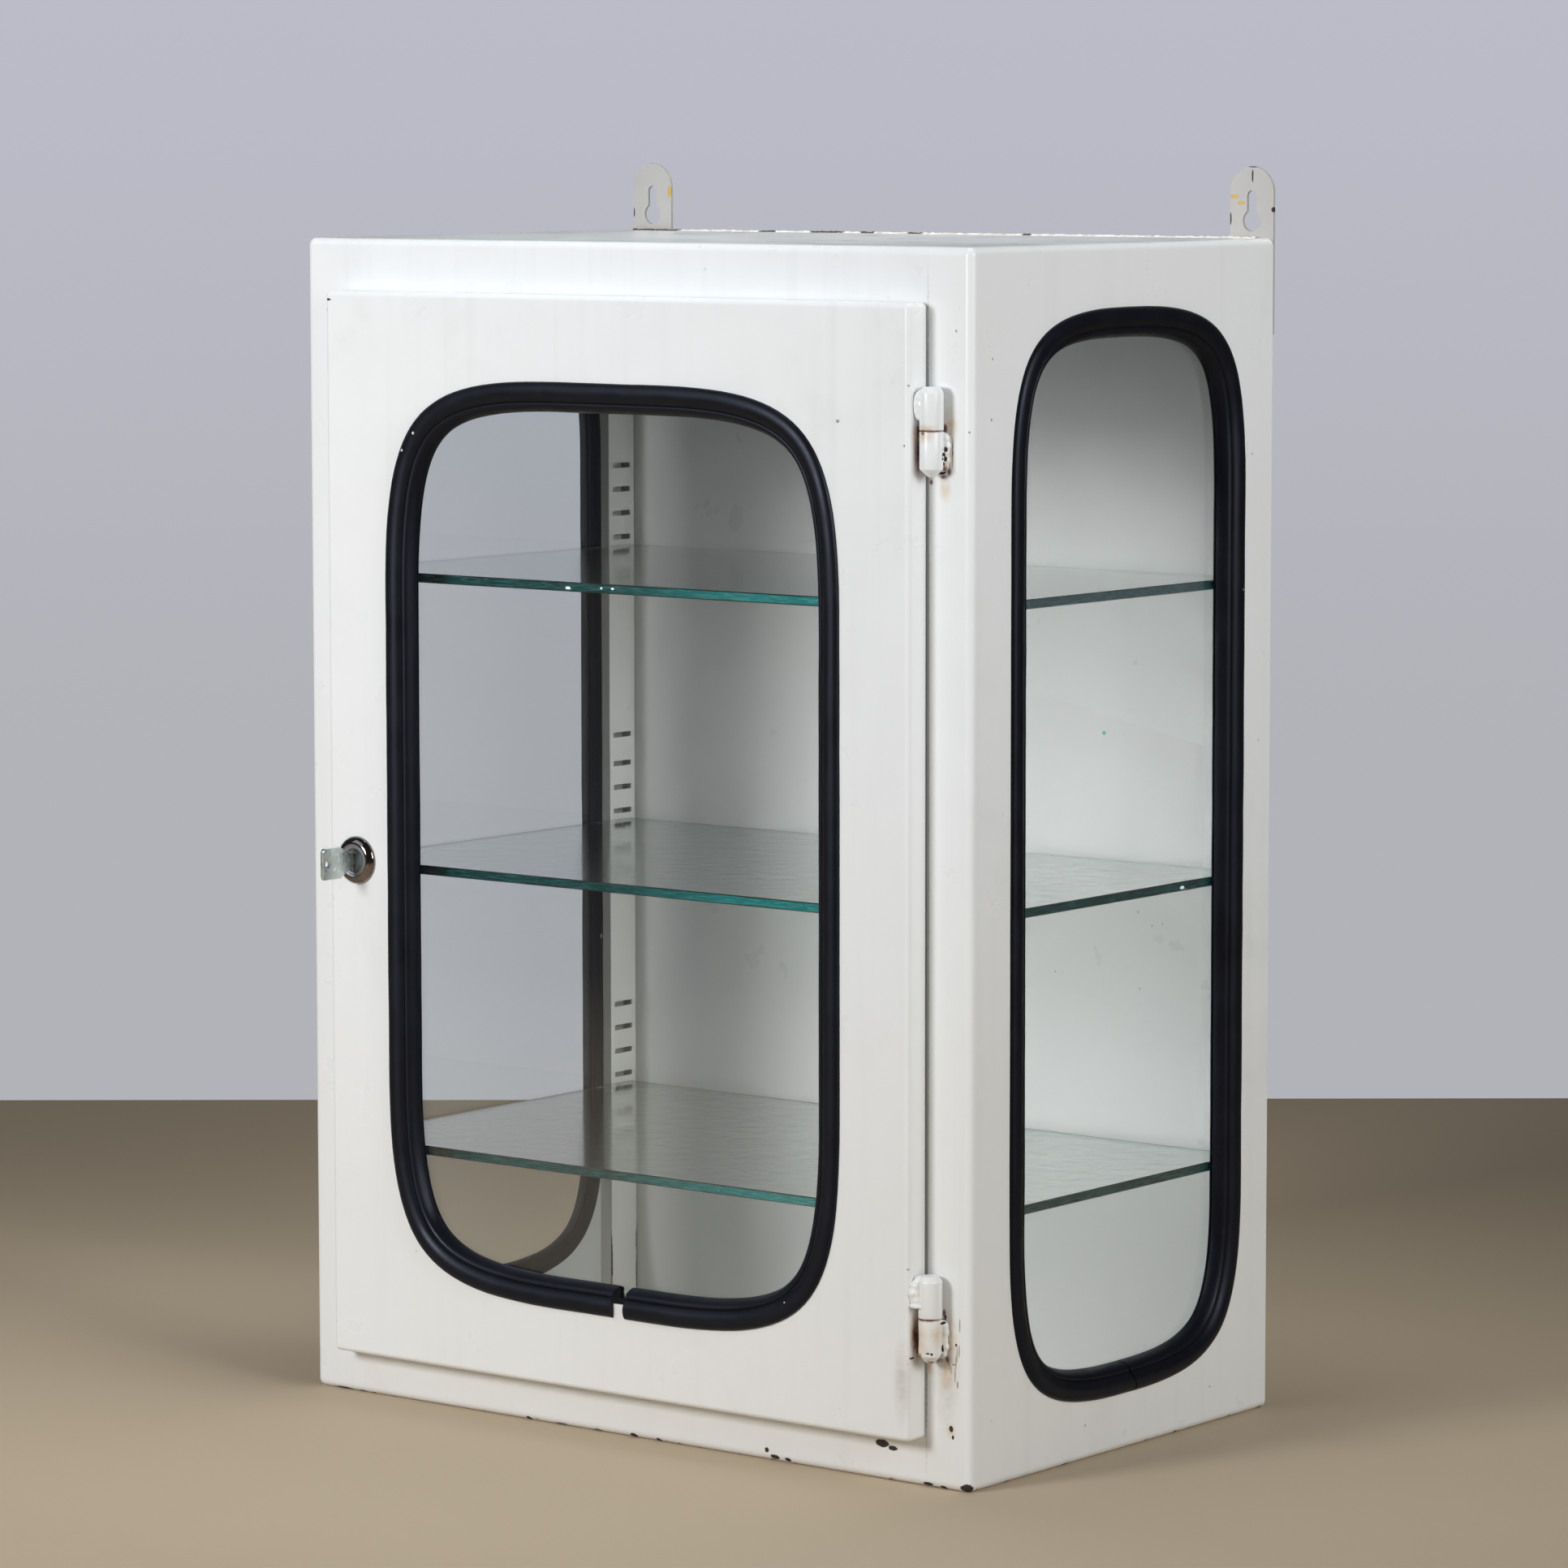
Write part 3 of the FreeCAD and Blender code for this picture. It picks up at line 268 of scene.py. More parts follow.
# Each is a place and its half widths, in millimetres.
FRONT_CHIPS = [
    ((-242, -158, 0), (9, 3, 1.7)), ((-226, -158, 0), (5, 3, 1.2)),
    ((-84, -158, 0.8), (2.2, 3, 1.8)), ((2, -158, 1.0), (3.0, 3, 2.0)),
    ((22, -158, 0.6), (2.4, 3, 1.6)), ((109, -158.6, 6.6), (1.6, 3, 1.6)),
    ((115, -158.6, 2.8), (3.4, 3, 1.6)), ((125, -158, 2.4), (2.4, 3, 1.4)),
    ((198, -159, 22.5), (5.0, 3, 2.4)), ((206, -159, 20.5), (3.4, 3, 1.5)),
    ((232, -158, 1.8), (3.6, 3, 1.4)), ((243, -158, 0.8), (2.6, 3, 1.6)),
    ((260.5, -157.5, 2.6), (4.2, 4, 3.0)), ((249.7, -159, 37.9), (1.5, 3, 2.0)),
    ((251, -159, 33.0), (0.9, 3, 1.3)), ((241.7, -159, 612.8), (3.0, 3, 2.0)),
    ((243.8, -159, 103.3), (2.4, 3, 1.2)), ((245.2, -159, 105.6), (0.8, 3, 1.6)),
    ((242.7, -159, 83.3), (1.3, 3, 2.8)), ((253.3, -159, 89.6), (0.7, 3, 0.9)),
]
FRONT_DOTS = [
    ((252, -159, 695.7), (0.7, 2, 0.9)), ((261.3, -158, 636.3), (0.6, 2, 0.7)),
    ((256, -159, 101.6), (0.45, 2, 4.2)), ((254, -159, 84), (0.4, 2, 5)),
    ((251.6, -159, 77.5), (1.6, 2, 0.7)), ((249.6, -159, 74), (0.45, 2, 2.4)),
]
# Rust by the hinges, and painted shade: some of these marks darken the shadow beside the barrels
# and in the gap between a barrel and the door.
FRONT_RUST_AND_SHADE = [
    ((232.6, -159, 622), (2.6, 4, 17)), ((232.6, -159, 92), (3.0, 4, 19)),
    ((243.9, -159, 638), (3.0, 4, 5)), ((249.6, -159, 624), (1.1, 3, 15)),
    ((243.4, -159, 609.6), (4.4, 4, 2.6)), ((246.9, -159, 613), (3.0, 4, 5)),
    ((244.4, -159, 108), (2.6, 3, 4.4)), ((239, -159, 79), (9.0, 4, 3.6)),
    ((247, -159, 80), (3.0, 3, 4.0)), ((234, -159, 606), (2.4, 3, 3.0)),
]
# Stains by the hinges; the first tints the upper barrel's shadow on the frame brown, as painted
# shade.
FRONT_STAINS_AND_SHADE = [
    ((248, -159, 640), (8, 6, 16)), ((244, -159, 602), (6, 6, 10)), ((249, -159, 92), (7, 6, 22)),
    ((246, -159, 70), (7, 6, 12)), ((249.5, -159, 37), (5, 6, 7)), ((233, -159, 74), (5, 6, 8)),
]
CRACKS = [
    ((255.6, -159, 86), (0.5, 3, 4.0)), ((253.2, -159, 79), (0.5, 3, 4.4)),
    ((252.6, -159, 71), (0.5, 3, 4.6)), ((254.4, -159, 65.5), (0.7, 3, 2.4)),
    ((248.2, -159, 76), (0.6, 3, 2.6)),
]
# Broad warm-grey patches low on the right of the frame and of the door: grime, and painted shade
# that darkens the lower right.
LOW_GRIME_AND_SHADE = [((246, -159, 72), (13, 4, 52)), ((226, -176.5, 66), (9, 4, 34))]
# A painted shadow: a thin dark strip on the frame along the door's right edge, where the door
# shades the gap.
GAP_SHADOW = [((231.3, -159, 371), (1.5, 3, 341))]
SIDE_CHIPS = [
    ((264, 60, 0.6), (3, 2.4, 1.4)), ((264, -60, 0.4), (3, 3.4, 1.2)),
    ((264, 120, 0.6), (3, 1.6, 1.3)), ((-262, 18, 744.6), (1.4, 1.6, 1)),
    ((-262, 29, 744.6), (1.4, 2.2, 1)), ((-262, 58, 744.6), (1.4, 1.2, 1)),
    ((-262, 62, 744.6), (1.4, 1.4, 1)), ((-262, 77, 744.6), (1.4, 2.4, 1)),
    ((-262, 89, 744.6), (1.4, 1.4, 1)), ((-262, 99, 744.6), (1.4, 2.6, 1)),
    ((-262, 104, 744.6), (1.4, 1.4, 1)), ((-262, 152, 744.6), (1.6, 5, 1)),
]
SIDE_DOTS = [
    ((263.8, -140, 643), (2, 0.8, 0.9)), ((263.8, -139, 679), (2, 0.7, 0.8)),
    ((264, 137, 611), (2, 0.7, 0.7)), ((264, 96, 24), (2, 0.8, 0.7)),
    ((264, -40, 22), (2, 0.7, 0.9)), ((264, 146, 430), (2, 0.6, 0.6)),
]
DOOR_CHIPS = [
    ((230.8, -173.0, 81.0), (1.0, 2.6, 0.6)), ((230.8, -175.8, 77.6), (1.2, 0.7, 2.4)),
    ((-229.6, -176.2, 706.5), (2.0, 2, 0.7)), ((-231.8, -175, 700), (1.0, 2, 1.2)),
]
DOOR_DOTS = [
    ((177.4, -176.5, 641.2), (1.3, 2, 1.1)), ((227, -176.5, 628), (0.8, 2, 0.8)),
    ((229.6, -176.5, 663.5), (0.7, 2, 0.7)), ((229.8, -176.5, 135.2), (0.8, 2, 0.7)),
]
# Rust on the door's edge beside the barrels, made darker as painted shade in the gap there.
DOOR_RUST_AND_SHADE = [
    ((230.5, -167, 636), (3.0, 6, 9)), ((230.5, -167, 622), (3.0, 7, 21)),
    ((230.5, -168, 92), (3.0, 8.5, 24)),
]
# A stain on the door's edge by each hinge, in the gap's shadow, partly painted shade.
DOOR_STAINS_AND_SHADE = [((230.5, -170, 634), (3, 6, 10)), ((230.5, -170, 96), (3, 6, 16))]
HINGE_CHIPS = [
    ((247.6, -163.0, 626), (0.9, 3, 1.7)), ((247.0, -163.0, 623.0), (0.5, 3, 1.6)),
    ((247.4, -163.4, 620.4), (0.8, 3, 1.5)), ((246.4, -163.0, 617.6), (0.5, 3, 1.2)),
    ((242.8, -172.2, 85.4), (1.2, 3, 0.5)), ((244.9, -172.2, 84.9), (0.5, 3, 0.8)),
    ((246.8, -164, 103.0), (1.5, 3, 0.8)), ((248.0, -164, 104.4), (0.8, 3, 1.0)),
    ((246.4, -163, 87.6), (0.9, 3, 2.2)),
]
HINGE_RUST = [
    ((240, -170, 636.9), (16, 16, 1.9)), ((239.0, -174, 635.6), (3.6, 4, 1.8)),
    ((233.0, -167, 625), (2.2, 8, 20)), ((240, -170, 105.4), (16, 16, 1.9)),
    ((234.4, -172, 94), (3.0, 5, 15)), ((236.2, -173.4, 82.6), (4.4, 6, 5.6)),
    ((242.5, -171, 79.0), (6, 7, 2.4)), ((246.6, -163, 615), (3, 4, 4)),
    ((245.6, -165, 83), (4, 5, 4)),
]
HINGE_STAINS = [
    ((239.6, -174, 634.0), (9, 8, 5.5)), ((234.0, -169, 626), (2.8, 6, 14)),
    ((240, -172, 638.6), (9, 8, 3.4)), ((248, -161, 618), (3.4, 4, 12)),
    ((236, -172, 92), (14, 14, 22)), ((245, -168, 96), (8, 10, 12)),
    ((236, -172, 84), (8, 9, 10)),
]
INSIDE_DOTS = [
    ((162.8, 157.8, 311.8), (0.9, 2, 0.7)), ((173.7, 157.8, 303.7), (0.8, 2, 0.6)),
    ((181.9, 157.8, 305.5), (0.7, 2, 0.6)), ((97.5, 157.8, 267.6), (0.7, 2, 0.7)),
    ((164.3, 157.8, 262.1), (0.8, 2, 0.6)),
]
GREEN_DOT = [((135.5, 157.8, 426.0), (1.5, 2, 1.3))]
POST_CRACKS = [
    ((-252.2, 157.4, 52), (1.3, 1.4, 13)), ((-252.8, 157.4, 28), (0.8, 1.2, 16)),
    ((-253.4, 131.0, 40), (0.5, 0.8, 22)),
]
POST_DRIPS = [((-253, 131.5, 20), (2, 2.4, 12)), ((-253, 134, 12), (2, 3, 5))]
HANGER_CHIPS = [
    ((249, 159, 790.5), (5.5, 3, 1.2)), ((264, 159, 763), (1.6, 3, 1.6)),
    ((248.2, 159, 784), (0.6, 3, 4)), ((-238.5, 159, 790.5), (5, 3, 0.8)),
    ((-254.4, 159, 757), (0.9, 3, 3)), ((231.7, 159, 757), (0.8, 3, 4)),
]
HANGER_RUST = [
    ((-223.4, 159, 771), (1.6, 3, 4)), ((234, 159, 771), (4, 3, 1.4)),
    ((240, 159, 767), (3, 3, 1.2)),
]
SEAL_SPECKS = [
    ((-155.9, -180, 624.2), (1.0, 3, 0.9)), ((-165.8, -180, 613.1), (1.1, 3, 0.8)),
    ((-155.7, -180, 372.8), (0.6, 3, 0.6)), ((138.8, -180, 105.2), (0.5, 3, 0.5)),
    ((150.7, -180, 103.1), (0.5, 3, 0.5)), ((266, 122.9, 526.8), (3, 0.5, 0.8)),
    ((266, 126, 611), (3, 0.7, 1.4)), ((252.5, -92, 660), (3, 0.5, 0.5)),
    ((-253, 118, 267), (3, 0.6, 2.0)),
]
SHELF_NICKS = [
    ((-60, -142.5, 529), (2.0, 3, 0.8)), ((-24, -142.5, 530), (1.2, 3, 0.7)),
    ((-33, -142.5, 530), (0.9, 3, 0.7)), ((250, 80, 342), (3, 2.2, 1.0)),
]
SEAM_DARK = [
    ((-137, 157, 745), (7, 4, 3)), ((-87, 157, 745), (17, 2.4, 3)),
    ((-53, 157, 745), (6, 2.6, 3)), ((-14, 157, 745), (7, 2.6, 3)), ((76.5, 157, 745), (4, 4, 3)),
    ((-222, 157, 745), (14, 4, 3)), ((-248, 157, 745), (8, 4, 3)),
]


# ---------------------------------------------------------------- paint

WHITE = colour(237, 239, 240)
WARM_WHITE = colour(234, 234, 231)
# The next two colours go on the case's inner faces. The first is the inside's own greyer white,
# made darker still as painted shade; the second is painted shade alone, a dark warm grey for the
# deep shade inside.
INSIDE_GREY_AND_SHADE = colour(187, 187, 184)
INSIDE_PAINTED_SHADE = colour(104, 98, 88)
POST_WHITE = colour(206, 206, 203)
POST_WARM = colour(199, 198, 192)
HANGER_WHITE = colour(186, 184, 181)
HANGER_WARM = colour(180, 175, 165)
GRIME = colour(162, 161, 156)
DOT_GREY = colour(118, 118, 118)
# A warm grey for the grime and painted shade low on the right.
GRIME_SHADE_TONE = colour(168, 158, 138)
DARK_STEEL = colour(46, 38, 35)
# Rust browns, also used for painted shade by the hinges.
RUST_AND_SHADE_BROWN = colour(124, 62, 34)
DEEP_RUST_AND_SHADE = colour(74, 40, 30)
# A stain colour, which also tints painted shade by the hinges.
STAIN_AND_SHADE_TINT = colour(206, 176, 134)
CRACK_BROWN = colour(150, 104, 66)
# The dark brown of the painted shadow in the door's gap.
GAP_SHADOW_BROWN = colour(88, 80, 68)
GREEN = colour(40, 150, 110)
OCHRE = colour(206, 164, 70)
SEAM_WHITE = colour(238, 236, 228)
SEAM_YELLOW = colour(204, 196, 174)
JOINT_DARK = colour(44, 38, 34)
JOINT_BROWN = colour(112, 88, 62)

BROAD_CAST = (3.2, 3.0, 0.55)
STREAKS = (1.0, 5.0, 0.6)
STREAK_STRETCH = (75, 75, 2.2)
SMUDGES = (13.0, 7.0, 0.62)
SMUDGE_STRETCH = (1, 1, 0.8)
SPECK_CELLS = 34.0
SPECK_PATCHES = (9.0, 1.0)
GLOSS_PATCHES = (26.0, 5.0, 0.6)
GLOSSIEST, DULLEST = 0.27, 0.42
WAVES = (8.0, 2.0)
PAINT_GRAIN = (620.0, 3.0, 0.5)
EDGE_WEAR = (95.0, 5.0, 0.6)
BARE_STEEL = (900.0, 3.0)
DOT_AMOUNT = 0.75
GRIME_SHADE_AMOUNT = 0.45
STAIN_AMOUNT = 0.75
CHIP_ROUGHNESS = 0.75
CHIP_DEPTH = 0.00018
PAINT_IOR = 1.5


def worn_edge(f, inside_shaded):
    """Chips along the case's lower edge, on its outer faces only."""
    low = f.between(f.z, 0.0, 0.003, 1.0, 0.0)
    edge = f.sum("MULTIPLY", low, f.between(f.noise(*EDGE_WEAR), 0.58, 0.63))
    if inside_shaded:
        edge = f.sum("MULTIPLY", edge, f.sum("SUBTRACT", 1.0, f.inside_shade()))
    return edge


def paint(
    name, base=WHITE, warm=WARM_WHITE, chips=(), dots=(), rust_and_shade=(), stains_and_shade=(), more=(), inside_shade=None,
    grime_shade=(),
):
    """Old enamel on steel: mottled, smudged and streaked, stained and chipped to the metal, with
    painted shade where it is given: inside the case, low on the right, in the door's gap and round
    the hinges.
    """
    f = Finish(name)
    low = f.between(f.z, 0.0, 0.7, 0.55, 0.0)
    broad = f.between(f.noise(*BROAD_CAST), 0.3, 0.7, 0.0, 0.45)
    # Painted shade: the case's inner faces take a darker colour.
    tone = f.blend(f.sum("ADD", low, broad), base, warm)
    if inside_shade:
        tone = f.blend(f.inside_shade(), tone, inside_shade)
    streaks = f.noise(*STREAKS, at=f.stretched(STREAK_STRETCH))
    tone = f.blend(f.between(streaks, 0.5, 0.85, 0.0, 0.09), tone, GRIME)
    smudges = f.noise(*SMUDGES, at=f.stretched(SMUDGE_STRETCH), warp=0.4)
    tone = f.blend(f.between(smudges, 0.54, 0.84, 0.0, 0.16), tone, GRIME)
    specks = f.between(f.cells(SPECK_CELLS), 0.02, 0.05, 0.4, 0.0)
    patches = f.between(f.noise(*SPECK_PATCHES), 0.56, 0.62)
    tone = f.blend(f.sum("MULTIPLY", specks, patches), tone, GRIME)
    if dots:
        tone = f.blend(f.sum("MULTIPLY", f.marks(dots, jag=0.5), DOT_AMOUNT), tone, DOT_GREY)
    # More marks, each in its own colour; the one along the door's gap is a painted shadow.
    for places, amount, mark_tone in more:
        tone = f.blend(f.sum("MULTIPLY", f.marks(places, jag=0.3), amount), tone, mark_tone)
    # Grime and painted shade, darkening the lower right.
    if grime_shade:
        tone = f.blend(f.sum("MULTIPLY", f.glow(grime_shade), GRIME_SHADE_AMOUNT), tone, GRIME_SHADE_TONE)
    # Stains, and a warm tint painted into the hinges' shadows.
    if stains_and_shade:
        tone = f.blend(f.sum("MULTIPLY", f.glow(stains_and_shade), STAIN_AMOUNT), tone, STAIN_AND_SHADE_TINT)
    # Rust, and painted shade where the marks lie in the hinges' shadow.
    if rust_and_shade:
        rust_shade_mask = f.glow(rust_and_shade)
        tone = f.blend(f.between(rust_shade_mask, 0.05, 0.8, 0.0, 0.85), tone, RUST_AND_SHADE_BROWN)
        tone = f.blend(f.between(rust_shade_mask, 0.4, 1.0, 0.0, 0.9), tone, DEEP_RUST_AND_SHADE)
    edge = worn_edge(f, inside_shade)
    chip = f.sum("MAXIMUM", f.marks(chips), edge) if chips else edge
    bare = f.blend(f.between(f.noise(*BARE_STEEL), 0.45, 0.7), DARK_STEEL, DEEP_RUST_AND_SHADE)
    gloss = f.between(f.noise(*GLOSS_PATCHES), 0.3, 0.75, GLOSSIEST, DULLEST)
    gloss = f.sum("MAXIMUM", gloss, f.sum("MULTIPLY", chip, CHIP_ROUGHNESS))
    f.set(Base_Color=f.blend(chip, tone, bare), Roughness=gloss, IOR=PAINT_IOR)
    f.bump([
        (f.noise(*WAVES), 0.25, 0.0012), (f.noise(*PAINT_GRAIN), 0.10, 0.00012),
        (f.sum("SUBTRACT", 1.0, chip), 0.7, CHIP_DEPTH),
    ])
    return f.material


def seam_paint():
    """Thick brittle paint, broken off down to the dark joint in places."""
    f = Finish("seam_paint")
    patch = f.noise(150.0, 5.0, 0.65)
    tone = f.blend(f.between(patch, 0.42, 0.64), SEAM_WHITE, SEAM_YELLOW)
    dark = f.marks(SEAM_DARK, jag=1.1, grain=210.0)
    left = f.between(f.x, -0.225, -0.200, 1.0, 0.0)
    loose = f.sum("MULTIPLY", left, f.between(f.noise(240.0, 4.0), 0.44, 0.52))
    cracks = f.between(f.noise(420.0, 5.0, 0.7), 0.62, 0.68)
    dark = f.sum("MAXIMUM", f.sum("MAXIMUM", dark, loose), f.sum("MULTIPLY", cracks, 0.8))
    tone = f.blend(dark, tone, f.blend(patch, JOINT_DARK, JOINT_BROWN))
    f.set(Base_Color=tone, Roughness=0.62)
    f.bump([(f.noise(520.0, 5.0, 0.7), 0.6, 0.0004)])
    return f.material


# ---------------------------------------------------------------- glass, rubber and metal

GLASS_IOR = 1.5
PANE = colour(252, 254, 254)
WINDOW_TINT = (0.965, 0.962, 0.956, 1.0)
SHELF_FACE = colour(244, 250, 248)
SHELF_TINT = (0.905, 0.915, 0.905, 1.0)
# The shelves' front edge from left to right, darker at the left and brighter at the right as
# painted shade and light, their right edge, their ground lines and nicks.
EDGE_SHADED_LEFT = colour(0, 46, 46)
EDGE_LIT_RIGHT = colour(0, 94, 92)
EDGE_SIDE = colour(24, 52, 52)
GROUND_LINES = colour(16, 126, 122)
NICK = colour(226, 236, 232)
EDGE_SIDE_STARTS, EDGE_SIDE_ENDS = 0.2488, 0.2496
# What is taken from the glass's clearness where one looks into an edge.
EDGE_DEPTH = -0.92

RUBBER_BLACK = colour(11, 12, 18)
RUBBER_GREY = colour(16, 17, 25)
RUBBER_DUST = colour(112, 112, 122)
OLD_PAINT = colour(206, 206, 202)
RUBBER_IOR = 1.35
RUBBER_SHEEN = (0.76, 0.82, 1.0, 1.0)

LOCK_FACE = (-209, -176.5, 350.15)
LOCK_FLAT_RADIUS = 10.9
RING_PITCH = 9.0
RIM_CHROME = colour(140, 132, 127)
RIM_WORN = colour(98, 90, 82)
FLAT_DARK = colour(140, 142, 146)
FLAT_LIGHT = colour(176, 178, 182)


def clear_for_shadows(f, tint):
    """Lets most of the light through glass to what is behind it."""
    path = f.tree.nodes.new("ShaderNodeLightPath")
    clear = f.tree.nodes.new("ShaderNodeBsdfTransparent")
    clear.inputs["Color"].default_value = tint
    f.show(mixed(f.tree, path.outputs["Is Shadow Ray"], f.shader.outputs[0], clear.outputs[0]))


def window_glass():
    """An old pane: clear, very slightly wavy."""
    f = Finish("window_glass")
    f.set(Base_Color=PANE, Roughness=0.0, IOR=GLASS_IOR, Transmission_Weight=1.0)
    f.bump([(f.noise(4.0, 0.0), 0.02, 0.002)])
    clear_for_shadows(f, WINDOW_TINT)
    return f.material


def shelf_glass():
    """Clear through its faces, deep green where one looks into a ground edge, with that edge
    painted darker at the left and lighter at the right.
    """
    f = Finish("shelf_glass")
    upright = f.parts(f.tree.nodes.new("ShaderNodeNewGeometry").outputs["Normal"])[2]
    edge = f.between(f.sum("ABSOLUTE", upright), 0.2, 0.75, 1.0, 0.0)
    ground = f.noise(1.0, 6.0, 0.7, at=f.stretched((70, 70, 900)))
    deep = f.blend(f.between(f.x, -0.04, 0.10), EDGE_SHADED_LEFT, EDGE_LIT_RIGHT)
    deep = f.blend(f.between(f.x, EDGE_SIDE_STARTS, EDGE_SIDE_ENDS), deep, EDGE_SIDE)
    deep = f.blend(f.between(ground, 0.5, 0.85, 0.0, 0.3), deep, GROUND_LINES)
    deep = f.blend(f.marks(SHELF_NICKS, jag=0.9, grain=800.0), deep, NICK)
    rough = f.sum("MULTIPLY", edge, f.between(ground, 0.3, 0.8, 0.12, 0.5))
    f.set(Base_Color=f.blend(edge, SHELF_FACE, deep), Roughness=rough, IOR=GLASS_IOR)
    f.set(Transmission_Weight=f.sum("MULTIPLY_ADD", edge, EDGE_DEPTH, 1.0))
    f.bump([(ground, 0.3, 0.0003)])
    clear_for_shadows(f, SHELF_TINT)
    return f.material


def rubber():
    """Aged black rubber: satin, dusted in its folds, with a few specks of old paint."""
    f = Finish("seal_rubber")
    patches = f.between(f.noise(30.0, 5.0, 0.6), 0.35, 0.75)
    tone = f.blend(patches, RUBBER_BLACK, RUBBER_GREY)
    dust = f.between(f.noise(240.0, 6.0, 0.7), 0.60, 0.80, 0.0, 0.10)
    tone = f.blend(dust, tone, RUBBER_DUST)
    tone = f.blend(f.marks(SEAL_SPECKS, jag=0.5, grain=900.0), tone, OLD_PAINT)
    gloss = f.between(f.noise(48.0, 5.0, 0.6), 0.3, 0.7, 0.36, 0.48)
    # The left window's seal, seen through the door, is dull.
    gloss = f.sum("MAXIMUM", gloss, f.between(f.x, -0.24, -0.23, 0.75, 0.0))
    f.set(Base_Color=tone, Roughness=gloss, IOR=RUBBER_IOR, Specular_Tint=RUBBER_SHEEN)
    f.bump([(f.noise(700.0, 3.0, 0.6), 0.12, 0.00012), (f.noise(38.0, 3.0), 0.2, 0.0005)])
    return f.material


def metal(name, tone, worn_tone, rough, scratch, wear=0.8):
    f = Finish(name)
    worn = f.between(f.noise(90.0, 6.0, 0.65), 0.42, 0.78, 0.0, wear)
    f.set(Base_Color=f.blend(worn, tone, worn_tone), Metallic=1.0)
    brushed = f.noise(210.0, 5.0, 0.6)
    f.set(Roughness=f.between(brushed, 0.3, 0.75, rough * 0.7, rough * 1.5))
    f.bump([(f.noise(600.0, 3.0, 0.5), scratch, 0.0001)])
    return f.material


def lock_chrome():
    """Polished round the rim, dull and turned in fine rings on the flat face."""
    f = Finish("lock_chrome")
    disc = f.spots([(LOCK_FACE, (LOCK_FLAT_RADIUS, 40, LOCK_FLAT_RADIUS))])
    face = f.between(disc, 0.97, 1.03, 1.0, 0.0)
    radius = f.spots([(LOCK_FACE, (1, 1000, 1))])
    rings = f.sum("SINE", f.sum("MULTIPLY", radius, RING_PITCH))
    rim = f.blend(f.between(f.noise(160.0, 5.0, 0.6), 0.4, 0.75, 0.0, 0.5), RIM_CHROME, RIM_WORN)
    dull = f.blend(f.between(rings, -1.0, 1.0), FLAT_DARK, FLAT_LIGHT)
    f.set(Base_Color=f.blend(face, rim, dull), Metallic=1.0)
    f.set(Roughness=f.sum("MULTIPLY_ADD", face, 0.36, 0.09))
    f.bump([(f.sum("MULTIPLY", rings, face), 0.25, 0.00008)])
    return f.material


def dress(material, *names):
    """Gives the solids of these names a finish."""
    for name in names:
        data = nodes[name].data
        data.materials.clear()
        data.materials.append(material)


def dress_paint():
    # The front, the right side and the top take the dark painted shade inside; the left side, the
    # bottom and the back take the lighter one.
    front = paint(
        "front_paint", chips=FRONT_CHIPS, dots=FRONT_DOTS, rust_and_shade=FRONT_RUST_AND_SHADE, stains_and_shade=FRONT_STAINS_AND_SHADE,
        more=[(CRACKS, 0.7, CRACK_BROWN), (GAP_SHADOW, 0.6, GAP_SHADOW_BROWN)], inside_shade=INSIDE_PAINTED_SHADE,
        grime_shade=LOW_GRIME_AND_SHADE,
    )
    side = paint("side_paint", chips=SIDE_CHIPS, dots=SIDE_DOTS, inside_shade=INSIDE_PAINTED_SHADE)
    left = paint("left_paint", chips=SIDE_CHIPS, inside_shade=INSIDE_GREY_AND_SHADE)
    door = paint(
        "door_paint", chips=DOOR_CHIPS, dots=DOOR_DOTS, rust_and_shade=DOOR_RUST_AND_SHADE, stains_and_shade=DOOR_STAINS_AND_SHADE,
        grime_shade=LOW_GRIME_AND_SHADE,
    )
    back = paint(
        "back_paint", dots=INSIDE_DOTS, more=[(GREEN_DOT, 0.9, GREEN)], inside_shade=INSIDE_GREY_AND_SHADE,
    )
    post = paint(
        "post_paint", base=POST_WHITE, warm=POST_WARM, chips=POST_CRACKS,
        more=[(POST_DRIPS, 0.5, STAIN_AND_SHADE_TINT)],
    )
    hanger = paint(
        "hanger_paint", base=HANGER_WHITE, warm=HANGER_WARM, chips=HANGER_CHIPS,
        more=[(HANGER_RUST, 0.85, OCHRE)],
    )
    dress(front, "front_frame")
    dress(side, "right_side", "top_panel")
    dress(left, "left_side", "bottom_panel")
    dress(door, "door_panel")
    dress(back, "back_panel")
    dress(post, "post_front_left", "post_front_right", "post_rear_left", "post_rear_right")
    dress(hanger, "hanger_left", "hanger_right")


def dress_glass_and_metal():
    dress(window_glass(), "window_glass_left", "window_glass_right", "door_glass")
    dress(shelf_glass(), "shelf_upper", "shelf_middle", "shelf_lower")
    zinc = metal("zinc_steel", colour(176, 178, 176), colour(138, 140, 138), 0.38, 0.12)
    plug = metal("plug_steel", colour(132, 138, 142), colour(70, 76, 80), 0.40, 0.20)
    key = metal("key_steel", colour(226, 236, 232), colour(176, 190, 186), 0.30, 0.04, 0.4)
    dress(
        zinc, "shelf_clips_upper", "shelf_clips_middle", "shelf_clips_lower", "hinge_pin_upper",
        "hinge_pin_lower", "lock_nut", "lock_cam", "lock_cam_screw",
    )
    dress(plug, "lock_cylinder")
    dress(key, "key")


# ---------------------------------------------------------------- modelling as by hand

DOUBLE_POINTS = 0.000002
SHADED_SMOOTH = math.radians(38)
ROUNDED_FROM = math.radians(22)


